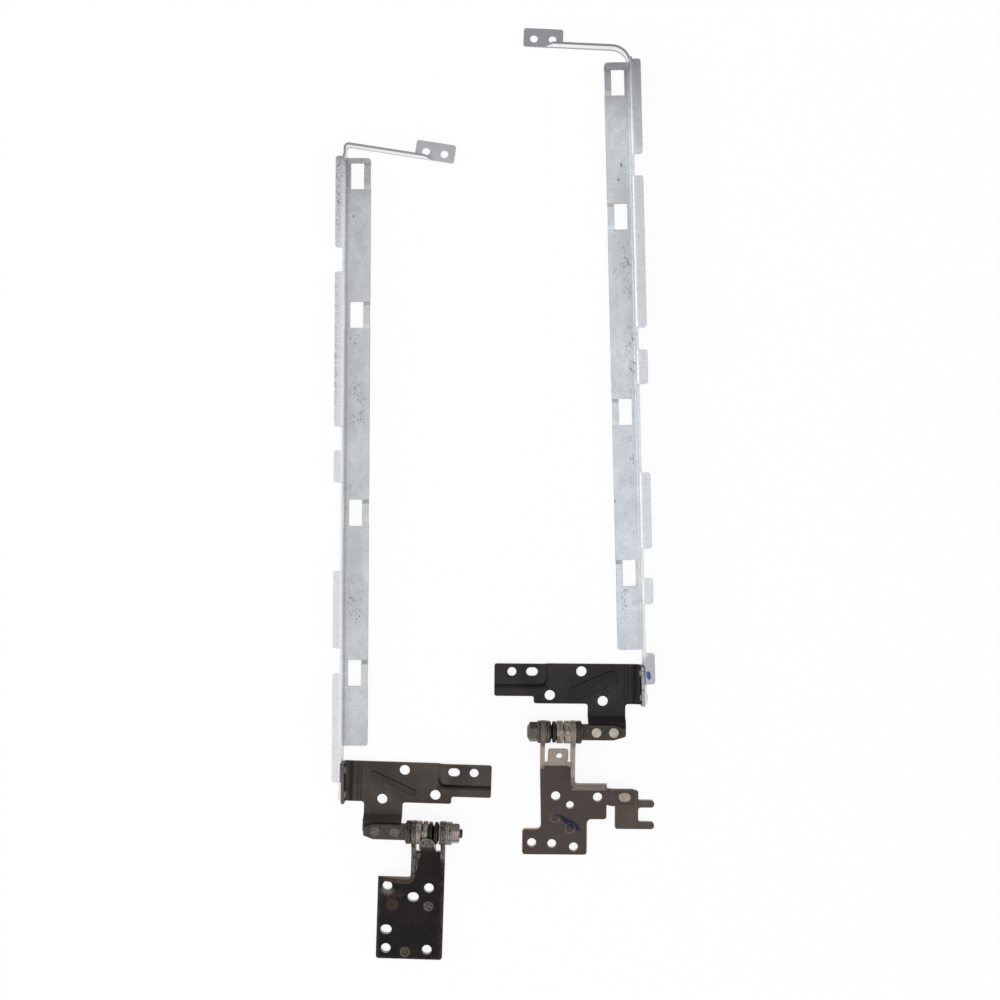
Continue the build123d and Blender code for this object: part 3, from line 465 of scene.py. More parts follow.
def zincFinish(side):
    f = Finish(side + "RailZinc", railPlace(side), zincSettings)
    w, marks, tones, places = f.w, railMarks[side], zincSettings, zincPlaces
    amounts, spangle = tones["amounts"], tones["spangle"]
    x, y, z = w.parts(f.here)
    speckle = f.effect("speckle", tones["speckle"])
    f.colour = w.mix(speckle["Patch"], tones["dark"], tones["light"])
    flakes = w.cells(w.stretch(f.here, spangle["squeeze"]), spangle["scale"], "Color")
    shade = w.fade(w.parts(flakes)[0], 0.0, 1.0, *spangle["shades"])
    f.colour = w.mix(1.0, f.colour, w.join(shade, shade, shade), "MULTIPLY")
    f.colour = w.mix(1.0, f.colour, marks["tint"], "MULTIPLY")
    f.coat(tones["glint"], w.fade(speckle["Grain"], *tones["glintCut"]), amounts["glint"])
    # painted highlight: the web's inner face lightened towards white
    web = w.times(w.fade(z, *places["webFoot"]), w.fade(x, *places["webFace"]))
    f.coat(tones["web"], web, w.fade(y, *places["webEnd"]), marks["web"])
    amount, tone = marks["tabs"]
    f.coat(tones[tone], w.fade(x, *places["tabs"]), amount)
    # painted shade: the far end darker
    f.coat(tones["pit"], w.fade(y, *places["farEnd"]), marks["farShade"])
    for centre, size, amount in marks["dull"]:
        f.coat(tones["pit"], f.spot(centre, size)["Mask"], amount)
    f.coat(tones["pit"], f.pattern(**tones["pits"]), amounts["pits"])
    # painted shade with some grime along the bend at the web's foot, strongest on the left rail, whose web
    # faces away from the light
    bend = w.times(w.band(x, *places["bend"]), w.fade(z, *places["bendTop"]))
    f.coat(tones["grime"], bend, f.pattern(**tones["bendWear"]), marks["bend"])
    rubbing = f.effect("rubbing", tones["rubbing"])["Mask"]
    inside = {"rubs": rubbing, "grime": f.pattern(**tones["blotch"])}
    for kind, (tone, amount, shape) in markLooks.items():
        for centre, size in marks[kind]:
            area = f.spot(centre, size, **shape)["Mask"]
            f.coat(tones[tone], area, inside.get(kind, 1.0), amount)
    # painted highlight on the arm's upright face; its top takes the sheared edge tone
    arm = w.times(w.fade(y, *places["armStart"]), w.fade(z, *places["armFoot"]))
    f.coat(tones["web"], arm, f.upright(), amounts["armFace"])
    f.coat(tones["edge"], arm, w.without(f.upright()), amounts["armTop"])
    sheared = w.times(f.upright(), w.fade(z, *places["shearedTop"]), w.fade(x, *places["shearedSide"]))
    sheared = w.times(sheared, w.fade(y, *places["shearedEnd"]))
    f.coat(tones["edge"], w.most(sheared, f.edge), amounts["edge"])
    f.bump(speckle["Grain"], *tones["grainRelief"])
    f.relief(**tones["dents"])
    return f.done(w.fade(speckle["Grain"], 0.0, 1.0, *tones["rough"]))


# Black lid brackets. Shade is painted on the rib's slopes, most on its far side, on the platform's slope
# and on a band at its foot, and in the creases.
lidSettings = {
    "surface": {"Metallic": 0.75, "Specular IOR Level": 0.3},
    "edgeWear": (0.2 * mm, 0.7),
    "speckle": {"Grain": 4.0, "Patch": 0.07},
    "rough": (0.40, 0.50),
    "left": {
        "face": (0.098, 0.080, 0.071),
        "deep": (0.060, 0.049, 0.043),
        "flange": (0.16, 0.145, 0.135),
        "ribPlace": (18.5, 15.8),
        "nearRib": 1.0,
    },
    "right": {
        "face": (0.044, 0.040, 0.039),
        "deep": (0.029, 0.026, 0.025),
        "flange": (0.54, 0.52, 0.50),
        "ribPlace": (17.9, 15.6),
        "nearRib": 0.1,
    },
    "worn": (0.34, 0.32, 0.31),
    "edge": (0.16, 0.14, 0.125),
    "black": (0.010, 0.009, 0.008),
    "amounts": {
        "crease": 0.7, "farCrease": 0.5, "groove": 0.6, "rib": 0.85, "foot": 0.6,
        "scuffs": 0.16, "flecks": 0.4, "flange": 0.95, "edge": 0.5,
    },
    "footStain": (0.8, 3),
    "scuffSize": (1.8, 1.8, 1.8),
    "scuffLength": 1.0,
    "flecks": {"scale": 1.15, "cut": (0.06, 0.02)},
    "thinPaint": {"noise": (0.22, 3), "cut": (0.52, 0.62)},
    "flangeWear": {"noise": (1.6, 4, 0.7), "cut": (0.34, 0.52)},
    "orangePeel": {"noise": (5.0, 2), "strength": 0.10, "distance": 0.03 * mm},
}
lidPlaces = {
    "nearCrease": (3.0, 4.4, 0.4),
    "farCrease": (5.6, 6.6, 0.4),
    "slopeRise": (1.12, 1.72, 0.08),
    "slopeStart": (30.0, 32.0),
    "slopeShade": (19.0, 17.0, 0.25, 0.9),
    "groove": (14.2, 15.5, 0.3),
    "grooveStart": (33.0, 34.5),
    "joggleRise": (1.05, 1.25),
    "joggleSide": (9.0, 8.0),
    "ribRise": (1.02, 1.33, 0.02),
    "ribStart": (7.6, 8.2),
    "ribEnd": (30.0, 29.0),
    "ribSide": (8.5, 9.5),
    "ribMiddle": (-0.4, 0.4),
    "acrossRib": (0.399, 0.917, 0),
    "foot": (7.0, 4.5),
    "scuffed": ((15.2, 12.6), (5.0, 4.0)),
    "flangeTop": (4.6, 5.3),
}


def lidFinish(side):
    settings, tones, places = lidSettings, lidSettings[side], lidPlaces
    amounts, black = settings["amounts"], settings["black"]
    f = Finish(side + "LidBlack", hingePlace(side), settings)
    w = f.w
    x, y, z = w.parts(f.here)
    speckle = f.effect("speckle", settings["speckle"])
    f.colour = w.mix(speckle["Patch"], tones["deep"], tones["face"])
    # painted shade in the two creases
    farCrease = w.times(w.band(x, *places["farCrease"]), amounts["farCrease"])
    f.coat(black, w.most(w.band(x, *places["nearCrease"]), farCrease), amounts["crease"])
    slope = w.times(w.band(z, *places["slopeRise"]), w.fade(x, *places["slopeStart"]))
    f.coat(black, slope, w.fade(y, *places["slopeShade"]))
    # painted shade on a band at the foot of the platform's slope, widening its shadow
    f.coat(black, w.band(y, *places["groove"]), w.fade(x, *places["grooveStart"]), amounts["groove"])
    flat = w.fade(x, *places["ribEnd"])
    joggle = w.times(w.fade(z, *places["joggleRise"]), w.fade(y, *places["joggleSide"]), flat)
    # painted shade on the rib's slopes, full on the far side and set per lid on the near side
    fromRib = w.vector("SUBTRACT", f.here, (*tones["ribPlace"], 0))
    offRib = w.vector("DOT_PRODUCT", fromRib, places["acrossRib"])
    ribs = w.times(w.band(z, *places["ribRise"]), flat, w.fade(x, *places["ribStart"]))
    ribs = w.times(ribs, w.fade(y, *places["ribSide"]))
    ribSide = w.fade(offRib, *places["ribMiddle"], tones["nearRib"], 1.0)
    f.coat(black, ribs, ribSide, amounts["rib"])
    # darker and mottled towards the foot
    mottle = w.noise(f.here, *settings["footStain"])
    f.coat(tones["deep"], w.fade(y, *places["foot"]), mottle, amounts["foot"])
    finer = w.stretch(f.here, settings["scuffSize"])
    scuffs = f.effect("rubbing", {"Vector": finer, "Length": settings["scuffLength"]})["Mask"]
    near = f.spot(*places["scuffed"], soft=0.6)["Mask"]
    f.coat(settings["worn"], scuffs, near, amounts["scuffs"])
    flecks = w.fade(w.cells(f.here, settings["flecks"]["scale"], "Distance"), *settings["flecks"]["cut"])
    f.coat(settings["worn"], flecks, f.pattern(**settings["thinPaint"]), amounts["flecks"])
    worn = f.pattern(**settings["flangeWear"])
    f.coat(tones["flange"], w.fade(z, *places["flangeTop"]), worn, amounts["flange"])
    f.coat(settings["edge"], f.edge, w.without(w.most(ribs, slope, joggle)), amounts["edge"])
    f.relief(**settings["orangePeel"])
    return f.done(w.fade(speckle["Grain"], 0.0, 1.0, *settings["rough"]))


# Base brackets. Places are in the hinge's millimetres.
baseSettings = {
    "speckle": {"Grain": 3.5, "Patch": 0.09},
    "holeWall": (1.48, 1.36),
    "silver": (0.34, 0.33, 0.31),
    "left": {
        "surface": {
            "Metallic": 0.7, "Specular IOR Level": 0.25, "Coat Weight": 0.08, "Coat Roughness": 0.12,
        },
        "edgeWear": (0.22 * mm, 0.45),
        "rough": (0.30, 0.42),
        "face": (0.0075, 0.0070, 0.0058),
        "warm": (0.056, 0.036, 0.034),
        "bronze": (0.078, 0.059, 0.038),
        "leg": (0.230, 0.195, 0.170),
        "sheared": (0.300, 0.300, 0.270),
        "edge": (0.17, 0.14, 0.12),
        "grime": (0.13, 0.085, 0.062),
        # rim: pale tone for the curl's tip, bright as a painted highlight
        "rim": (0.75, 0.77, 0.75),
        "amounts": {
            "warm": 0.18, "rims": 0.85, "wing": 0.9, "legs": 0.85, "flecks": 0.15,
            "grime": 0.8, "sheared": 0.9, "edge": 0.5, "tip": 0.9,
        },
        "rimWear": {"noise": (0.5, 4), "cut": (0.3, 0.6)},
        "streaks": {"squeeze": (0.25, 1.2, 1.2), "noise": (1.1, 3), "cut": (0.35, 0.62)},
        "rings": {"squeeze": (1.2, 0.4, 0.4), "noise": (1.4, 4, 0.7), "cut": (0.38, 0.62)},
        "flecks": {"noise": (2.2, 4, 0.7), "cut": (0.60, 0.68)},
        "scratches": {"noise": (2.6, 4, 0.7, 1.4), "cut": (0.50, 0.60)},
        "relief": {"noise": (3.0, 2), "strength": 0.08, "distance": 0.04 * mm},
    },
    "right": {
        "surface": {"Metallic": 0.7, "Specular IOR Level": 0.3},
        "edgeWear": (0.22 * mm, 0.35),
        "rough": (0.38, 0.50),
        "face": (0.086, 0.069, 0.060),
        "warm": (0.070, 0.053, 0.045),
        "pewter": (0.430, 0.370, 0.305),
        "dull": (0.250, 0.210, 0.165),
        "ear": (0.170, 0.145, 0.120),
        "ink": (0.009, 0.014, 0.048),
        "amounts": {
            "warm": 0.5, "wall": 0.48, "wallFoot": 0.55, "bare": 0.95, "ink": 0.9,
            "edge": 0.75, "sheared": 0.9,
        },
        "rings": {"squeeze": (1.5, 0.35, 0.6), "noise": (1.3, 4, 0.7), "cut": (0.36, 0.60, 0.35, 0.95)},
        "pebbles": {"noise": (1.9, 4, 0.75), "cut": (0.38, 0.62)},
        "relief": {"noise": (3.2, 3), "strength": 0.12, "distance": 0.05 * mm},
    },
}
leftBasePlaces = {
    "lowRim": (15.7, 14.5),
    "highRim": (35.6, 36.9),
    "endRim": (-44.0, -45.2),
    "raised": (1.55, 2.25),
    "wing": (-13.6, -15.2),
    "legs": (-14.8, -13.4),
    "flareStart": -8.5,
    "flareLean": 0.23,
    "flareSide": (28.9, 28.6),
    "flareFoot": (-16.2, -15.0),
    "flareTop": (-8.0, -8.6),
    "grime": {"centre": (20.0, -23.0), "size": (3.3, 1.6), "turn": -10, "soft": 0.5, "ragged": 1.2},
    "glow": {"centre": (17.5, -21.6), "size": (2.1, 1.3), "soft": 0.5, "ragged": 0.9},
    "tipHeight": (7.0, 7.6),
    "tipFront": (-6.0, -5.0),
    "tipWidth": (27.3, 34.7, 0.3),
}
paintMarks = [  # worn paint on the left plate: the ring is how much of the rim is left
    {"centre": (19.5, -26.4), "size": 2.1, "tone": (0.150, 0.058, 0.050), "amount": 0.85, "ring": 0.35},
    {"centre": (32.0, -26.6), "size": 1.75, "tone": (0.34, 0.33, 0.31), "amount": 0.75, "ring": 0.45},
    {"centre": (24.3, -42.7), "size": 1.8, "tone": (0.300, 0.180, 0.125), "amount": 0.70, "ring": 0.80},
]


def leftBaseFinish():
    tones, places = baseSettings["left"], leftBasePlaces
    amounts = tones["amounts"]
    f = Finish("leftBaseBlack", hingePlace("left"), tones)
    w = f.w
    x, y, z = w.parts(f.here)
    speckle = f.effect("speckle", baseSettings["speckle"])
    f.colour = w.mix(w.times(speckle["Patch"], amounts["warm"]), tones["face"], tones["warm"])
    rims = w.most(w.fade(x, *places["lowRim"]), w.fade(x, *places["highRim"]), w.fade(y, *places["endRim"]))
    f.coat(tones["warm"], rims, f.pattern(**tones["rimWear"]), amounts["rims"])
    # the raised wing: bronze streaks, lightened as painted light on a face turned to the light
    raised = w.fade(z, *places["raised"])
    bronze = w.mix(f.pattern(**tones["streaks"]), tones["warm"], tones["bronze"])
    f.coat(bronze, raised, w.fade(y, *places["wing"]), amounts["wing"])
    lean = w.maths("MULTIPLY", w.maths("SUBTRACT", places["flareStart"], y), places["flareLean"])
    flare = w.fade(w.maths("ADD", x, lean), *places["flareSide"])
    flare = w.times(flare, w.fade(y, *places["flareFoot"]), w.fade(y, *places["flareTop"]))
    legs = w.most(w.times(raised, w.fade(y, *places["legs"])), flare)
    leg = w.mix(f.pattern(**tones["rings"]), tones["warm"], tones["leg"])
    f.coat(leg, legs, amounts["legs"])
    f.coat(tones["leg"], f.pattern(**tones["flecks"]), amounts["flecks"])
    scratch = f.pattern(**tones["scratches"])
    for mark in paintMarks:
        spot = f.spot(mark["centre"], (mark["size"], mark["size"]), soft=0.10, ragged=0.25)
        worn = w.most(w.times(spot["Ring"], mark["ring"]), w.times(spot["Mask"], scratch))
        f.coat(mark["tone"], worn, mark["amount"])
    f.coat(tones["grime"], f.spot(**places["grime"])["Mask"], scratch, amounts["grime"])
    # painted highlight: a pale scratched patch on the lower rim of the hole
    glow = w.fade(scratch, 0.0, 1.0, 0.25, 0.7)
    f.coat(baseSettings["silver"], f.spot(**places["glow"])["Mask"], glow)
    f.coat(tones["sheared"], f.upright(), w.fade(z, *baseSettings["holeWall"]), amounts["sheared"])
    f.coat(tones["edge"], f.edge, amounts["edge"])
    # the curl's tip: a pale rim brightened to a painted highlight on its end face
    tip = w.times(w.most(f.edge, f.upright()), w.fade(z, *places["tipHeight"]))
    tip = w.times(tip, w.fade(y, *places["tipFront"]), w.band(x, *places["tipWidth"]))
    f.coat(tones["rim"], tip, amounts["tip"])
    f.relief(**tones["relief"])
    return f.done(w.fade(speckle["Grain"], 0.0, 1.0, *tones["rough"]))


rightBasePlaces = {
    "foldLine": -12.4,
    "foldSoft": 0.12,
    "foldMiddle": 32.2,
    "foldEnds": (5.0, 7.6),
    "foldDrop": 1.3,  # the painted sheen band is deeper at its ends
    "raised": (1.7, 2.2),
    "wallTop": (-12.0, -12.6),
    "wallEnd": (12.8, 13.2),
    "wallFoot": (-20.9, -20.4, 0.12),
    "wallFootLength": (13.2, 25.2, 0.5),
    "legs": (-16.5, -15.0),
    "ears": (-5.5, -4.0),
    "earShade": (28.0, 36.0, 0.45, 0.95),
    "inkStreak": {"centre": (26.4, -32.0), "size": (5.4, 0.75), "turn": -34, "soft": 0.3, "ragged": 0.6},
    "inkSmear": {"centre": (24.9, -33.0), "size": (2.9, 1.15), "turn": -34, "soft": 0.35, "ragged": 0.7},
    "bosses": ((31.0, -30.5), (25.8, -34.2)),
    "bossRadius": 1.95,
}


def rightBaseFinish():
    tones, places = baseSettings["right"], rightBasePlaces
    amounts = tones["amounts"]
    f = Finish("rightBaseTaupe", hingePlace("right"), tones)
    w = f.w
    x, y, z = w.parts(f.here)
    speckle = f.effect("speckle", baseSettings["speckle"])
    f.colour = w.mix(w.times(speckle["Patch"], amounts["warm"]), tones["face"], tones["warm"])
    # painted reflection: the tab beyond the fold and its bend in pewter, a glossy face turned to a bright
    # surround; the ear legs' sheared edges are bare pewter
    pewter = w.mix(f.pattern(**tones["rings"]), tones["dull"], tones["pewter"])
    middle = w.maths("ABSOLUTE", w.maths("SUBTRACT", x, places["foldMiddle"]))
    drop = w.maths("MULTIPLY", w.fade(middle, *places["foldEnds"]), places["foldDrop"])
    line, soft = places["foldLine"], places["foldSoft"]
    bare = w.fade(w.maths("ADD", y, drop), line - soft, line + soft)
    raised = w.fade(z, *places["raised"])
    # the raised wall: pebbled pewter, lightened as painted light on its face
    wall = w.times(raised, w.fade(y, *places["wallTop"]), w.fade(x, *places["wallEnd"]))
    f.coat(w.mix(f.pattern(**tones["pebbles"]), tones["dull"], tones["pewter"]), wall, amounts["wall"])
    # painted highlight: a pale line along the foot of the wall
    wallFoot = w.times(w.band(y, *places["wallFoot"]), w.band(x, *places["wallFootLength"]))
    f.coat(tones["pewter"], wallFoot, amounts["wallFoot"])
    f.coat(pewter, w.most(bare, w.times(raised, w.fade(y, *places["legs"]))), amounts["bare"])
    f.coat(tones["ear"], w.fade(y, *places["ears"]), w.fade(x, *places["earShade"]))
    ink = w.most(f.spot(**places["inkStreak"])["Mask"], f.spot(**places["inkSmear"])["Mask"])
    f.coat(tones["ink"], ink, amounts["ink"])
    radius = places["bossRadius"]
    for centre in places["bosses"]:
        ring = f.spot(centre, (radius, radius), soft=0.1, ragged=0.15)["Ring"]
        lit = w.fade(y, centre[1] + 0.4, centre[1] - 0.9, 0.08, 0.55)  # painted highlight: the near rim is lighter, where the light falls on it
        f.coat(tones["dull"], ring, lit)
    f.coat(tones["pewter"], f.edge, amounts["edge"])
    f.coat(tones["pewter"], f.upright(), w.fade(z, *baseSettings["holeWall"]), amounts["sheared"])
    f.relief(**tones["relief"])
    return f.done(w.fade(speckle["Grain"], 0.0, 1.0, *tones["rough"]))


# Turned and stamped pieces on the shaft
turnedSettings = {
    "surface": {"Metallic": 0.9, "Specular IOR Level": 0.4},
    "edgeWear": (0.12 * mm, 0.6),
    "turning": {"Fine": 5.0},
    "oily": {"noise": (0.45, 3), "cut": (0.42, 0.60)},
    "greaseTone": (0.075, 0.045, 0.024),
    "edge": (0.46, 0.42, 0.37),
    "ringRelief": (0.16, 0.04 * mm),
    "leftShaft": {
        "dark": (0.042, 0.034, 0.028), "light": (0.122, 0.101, 0.086),
        "rough": (0.36, 0.52), "grease": 0.2, "wear": 0.25,
    },
    "rightShaft": {
        "dark": (0.035, 0.029, 0.025), "light": (0.098, 0.080, 0.070),
        "rough": (0.36, 0.52), "grease": 0.2, "wear": 0.25,
    },
    "leftCam": {
        "dark": (0.120, 0.100, 0.084), "light": (0.580, 0.500, 0.440),
        "rough": (0.34, 0.50), "grease": 0.4, "wear": 0.45,
    },
    "rightCam": {
        "dark": (0.230, 0.185, 0.158), "light": (0.540, 0.462, 0.400),
        "rough": (0.34, 0.50), "grease": 0.35, "wear": 0.45,
        "dimple": {"centre": (27.3, 0.7), "size": (1.1, 1.1), "ragged": 0.2},
        "oldGrease": {"centre": (30.4, -1.6), "size": (0.8, 1.0), "ragged": 0.9},
        "brown": (0.150, 0.082, 0.038),
    },
    "leftWasher": {
        "dark": (0.090, 0.080, 0.064), "light": (0.480, 0.440, 0.380),
        "rough": (0.30, 0.46), "grease": 0.3, "wear": 0.45,
    },
    "rightWasher": {
        "dark": (0.055, 0.045, 0.037), "light": (0.190, 0.165, 0.140),
        "rough": (0.32, 0.46), "grease": 0.3, "wear": 0.45,
    },
    "spring": {
        "dark": (0.015, 0.016, 0.011), "light": (0.090, 0.086, 0.062),
        "rough": (0.32, 0.45), "grease": 0.1, "wear": 0.25,
    },
    "leftNut": {
        "dark": (0.26, 0.215, 0.200), "light": (0.48, 0.41, 0.39),
        "rough": (0.28, 0.42), "grease": 0.2, "wear": 0.45,
        "upper": (0.17, 0.165, 0.14), "upperFlat": (1.5, 2.1, 0.0, 0.5),
        "lower": (0.050, 0.042, 0.037), "lowerEdge": (-1.8, -1.3, 0.1),
    },
    "rightNut": {
        "dark": (0.070, 0.064, 0.055), "light": (0.175, 0.162, 0.140),
        "rough": (0.30, 0.45), "grease": 0.3, "wear": 0.45,
    },
}


def turnedFinish(side, kind):
    tones, grease = turnedSettings[kind], turnedSettings["greaseTone"]
    name = kind + "Steel" if kind.startswith(side) else side + kind.capitalize() + "Steel"
    f = Finish(name, hingePlace(side), turnedSettings)
    w = f.w
    turning = f.effect("turning", turnedSettings["turning"])
    f.colour = w.mix(turning["Ring"], tones["dark"], tones["light"])
    f.coat(grease, turning["Blotch"], f.pattern(**turnedSettings["oily"]), tones["grease"])
    if kind == "rightCam":
        f.coat(grease, f.spot(**tones["dimple"])["Ring"], 0.6)
        f.coat(tones["brown"], f.spot(**tones["oldGrease"])["Mask"], 0.75)
    if kind == "leftNut":
        # painted facet shading: the upper flats toned down and the lower edge darkened, as the light falls
        y = w.parts(f.here)[1]
        f.coat(tones["upper"], w.fade(y, *tones["upperFlat"]))
        f.coat(tones["lower"], w.band(y, *tones["lowerEdge"]), 0.8)
    f.coat(turnedSettings["edge"], f.edge, tones["wear"])
    f.bump(turning["Ring"], *turnedSettings["ringRelief"])
    low, high = tones["rough"]
    return f.done(w.fade(turning["Blotch"], 0.0, 1.0, high, low))


# Flush rivet ends, ground bright on the right hinge and dulled on the left
rivetSettings = {
    "surface": {"Metallic": 0.85, "Specular IOR Level": 0.4},
    "edgeWear": (0.1 * mm, 0.4),
    "speckle": {"Grain": 2.4, "Patch": 0.6},
    "rough": (0.34, 0.5),
    "grainRelief": (0.2, 0.04 * mm),
    "left": {"face": (0.145, 0.127, 0.112), "ring": (0.075, 0.064, 0.056), "bright": (0.34, 0.32, 0.30)},
    "right": {"face": (0.60, 0.515, 0.455), "ring": (0.32, 0.27, 0.235), "bright": (0.72, 0.64, 0.58)},
    "fork": {"face": (0.46, 0.385, 0.335), "ring": (0.17, 0.135, 0.110), "bright": (0.66, 0.58, 0.52)},
    "web": {"face": (0.72, 0.68, 0.64), "ring": (0.34, 0.31, 0.29), "bright": (0.86, 0.84, 0.82)},
}


def rivetFinish(side, kind):
    tones = rivetSettings[kind]
    f = Finish(side + kind.capitalize() + "Rivet", hingePlace(side), rivetSettings)
    w = f.w
    speckle = f.effect("speckle", rivetSettings["speckle"])
    f.colour = w.mix(w.times(speckle["Patch"], 0.6), tones["face"], tones["ring"])
    f.coat(tones["bright"], w.fade(speckle["Grain"], 0.6, 0.9), 0.5)
    f.coat(tones["ring"], f.edge, 0.5)
    f.bump(speckle["Grain"], *rivetSettings["grainRelief"])
    return f.done(w.fade(speckle["Grain"], 0.0, 1.0, *rivetSettings["rough"]))


forkSettings = {
    "surface": {"Metallic": 0.7, "Specular IOR Level": 0.3},
    "edgeWear": (0.22 * mm, 0.3),
    "speckle": {"Grain": 3.5, "Patch": 0.14},
    "rough": (0.38, 0.5),
    "face": (0.088, 0.071, 0.060),
    "warm": (0.112, 0.092, 0.078),
    "edge": (0.40, 0.35, 0.29),
}


def forkFinish():
    f = Finish("forkPlateTaupe", hingePlace("right"), forkSettings)
    w = f.w
    speckle = f.effect("speckle", forkSettings["speckle"])
    f.colour = w.mix(speckle["Patch"], forkSettings["face"], forkSettings["warm"])
    f.coat(forkSettings["edge"], w.most(f.edge, f.upright()), 0.7)
    f.relief(**baseSettings["right"]["relief"])
    return f.done(w.fade(speckle["Grain"], 0.0, 1.0, *forkSettings["rough"]))


def dressNodes():
    finishes = {
        "leftBase": leftBaseFinish(), "rightBase": rightBaseFinish(),
        "fork": forkFinish(), "forkRivet": rivetFinish("right", "fork"),
    }
    for side in ("left", "right"):
        finishes[side + "Rail"] = zincFinish(side)
        finishes[side + "Lid"] = lidFinish(side)
        finishes[side + "Rivet"] = rivetFinish(side, side)
        finishes[side + "WebRivet"] = rivetFinish(side, "web")
        for kind in ("Shaft", "Cam", "Washer", "Nut"):
            finishes[side + kind] = turnedFinish(side, side + kind)
        finishes[side + "Spring"] = turnedFinish(side, "spring")
    endings = (
        ("_rail", "Rail"), ("_lid_bracket", "Lid"), ("_base_bracket", "Base"), ("_shaft", "Shaft"),
        ("_cam", "Cam"), ("_washer", "Washer"), ("_nut", "Nut"),
    )
    for name, node in cadNodes.items():
        side = name.split("_")[0]
        if "disc_spring" in name:
            key = side + "Spring"
        elif "rail_rivet" in name:
            key = side + "WebRivet"
        elif name == "right_fork_plate":
            key = "fork"
        elif name == "right_fork_rivet":
            key = "forkRivet"
        elif "rivet" in name:
            key = side + "Rivet"
        else:
            key = side + next(label for ending, label in endings if name.endswith(ending))
        node.data.materials.clear()
        node.data.materials.append(finishes[key])
    return finishes


finishes = dressNodes()
print("finishes:", len(finishes))


# Small pieces made with Geometry Nodes
def newGeometryTree(name, inputs):
    tree = bpy.data.node_groups.new(name, "GeometryNodeTree")
    tree.interface.new_socket("Geometry", in_out="INPUT", socket_type="NodeSocketGeometry")
    for label, kind in inputs:
        tree.interface.new_socket(label, in_out="INPUT", socket_type=socketKinds[kind])
    tree.interface.new_socket("Geometry", in_out="OUTPUT", socket_type="NodeSocketGeometry")
    w = Wiring(tree)
    return w, w.node("NodeGroupInput").outputs, w.node("NodeGroupOutput")


def endTree(w, geometry, material, out):
    real = w.node("GeometryNodeRealizeInstances", {"Geometry": geometry}).outputs[0]
    done = w.node("GeometryNodeSetMaterial", {"Geometry": real, "Material": material}).outputs[0]
    w.tree.links.new(done, out.inputs[0])
    return w.tree


def buildThreadTree():
    # A helical ridge up +Z, in millimetres
    labels = [(label, "float") for label in ("Radius", "Pitch", "Turns", "Ridge")]
    w, given, out = newGeometryTree("threadRidge", labels + [("Material", "material")])
    height = w.maths("MULTIPLY", given["Pitch"], given["Turns"])
    radius = given["Radius"]
    values = {"Rotations": given["Turns"], "Start Radius": radius, "End Radius": radius}
    spiral = w.node("GeometryNodeCurveSpiral", {**values, "Height": height, "Resolution": 28}).outputs[0]
    values = {"Resolution": 4, "Radius": given["Ridge"]}
    profile = w.node("GeometryNodeCurvePrimitiveCircle", values).outputs[0]
    values = {"Curve": spiral, "Profile Curve": profile, "Fill Caps": True}
    ridge = w.node("GeometryNodeCurveToMesh", values).outputs[0]
    return endTree(w, ridge, given["Material"], out)


def buildLipTree():
    # A rolled lip round each punched hole. The points carry the hole's radius.
    labels = [("Lip", "float"), ("Rise", "float"), ("Sides", "int"), ("Material", "material")]
    w, given, out = newGeometryTree("punchedLips", labels)
    values = {"Resolution": given["Sides"], "Radius": 1.0}
    circle = w.node("GeometryNodeCurvePrimitiveCircle", values).outputs[0]
    values = {"Resolution": 8, "Radius": given["Lip"]}
    section = w.node("GeometryNodeCurvePrimitiveCircle", values).outputs[0]
    ring = w.node("GeometryNodeCurveToMesh", {"Curve": circle, "Profile Curve": section}).outputs[0]
    flat = w.join(1.0, 1.0, given["Rise"])
    ring = w.node("GeometryNodeTransform", {"Geometry": ring, "Scale": flat}).outputs[0]
    radius = w.node("GeometryNodeInputNamedAttribute", {"Name": "radius"}, data_type="FLOAT").outputs[0]
    values = {"Points": given["Geometry"], "Instance": ring, "Scale": radius}
    return endTree(w, w.node("GeometryNodeInstanceOnPoints", values).outputs[0], given["Material"], out)


def buildBeadTree():
    # Beads of old grease, scattered over the piece that the tree is given
    labels = [("Density", "float"), ("Bead", "float"), ("Seed", "int"), ("Material", "material")]
    w, given, out = newGeometryTree("greaseBeads", labels)
    values = {"Mesh": given["Geometry"], "Density": given["Density"], "Seed": given["Seed"]}
    points = w.node("GeometryNodeDistributePointsOnFaces", values).outputs
    bead = w.node("GeometryNodeMeshIcoSphere", {"Radius": given["Bead"], "Subdivisions": 2}).outputs[0]
    bead = w.node("GeometryNodeTransform", {"Geometry": bead, "Scale": (1.0, 1.0, 0.3)}).outputs[0]
    values = {"Min": (0.4, 0.5, 0.5), "Max": (1.6, 2.2, 1.0), "Seed": given["Seed"]}
    size = w.node("FunctionNodeRandomValue", values, data_type="FLOAT_VECTOR").outputs[0]
    values = {"Points": points["Points"], "Instance": bead, "Rotation": points["Rotation"]}
    beads = w.node("GeometryNodeInstanceOnPoints", {**values, "Scale": size}).outputs[0]
    return endTree(w, beads, given["Material"], out)


geometryTrees = {"thread": buildThreadTree(), "lip": buildLipTree(), "bead": buildBeadTree()}
print("geometry trees:", ", ".join(geometryTrees))


def runTree(name, mesh, tree, values, matrix):
    # Evaluates the tree on a scratch object and keeps the result as a plain mesh
    scratch = bpy.data.objects.new(name + "Scratch", mesh)
    bpy.context.collection.objects.link(scratch)
    modifier = scratch.modifiers.new("nodes", "NODES")
    modifier.node_group = tree
    for item in tree.interface.items_tree:
        if item.in_out == "INPUT" and item.name in values:
            modifier[item.identifier] = values[item.name]
    evaluated = scratch.evaluated_get(bpy.context.evaluated_depsgraph_get())
    result = bpy.data.meshes.new_from_object(evaluated)
    scratch.modifiers.remove(modifier)
    bpy.data.objects.remove(scratch)
    result.transform(matrix)
    if matrix.determinant() < 0:
        result.flip_normals()
    piece = bpy.data.objects.new(name, result)
    bpy.context.collection.objects.link(piece)
    return piece


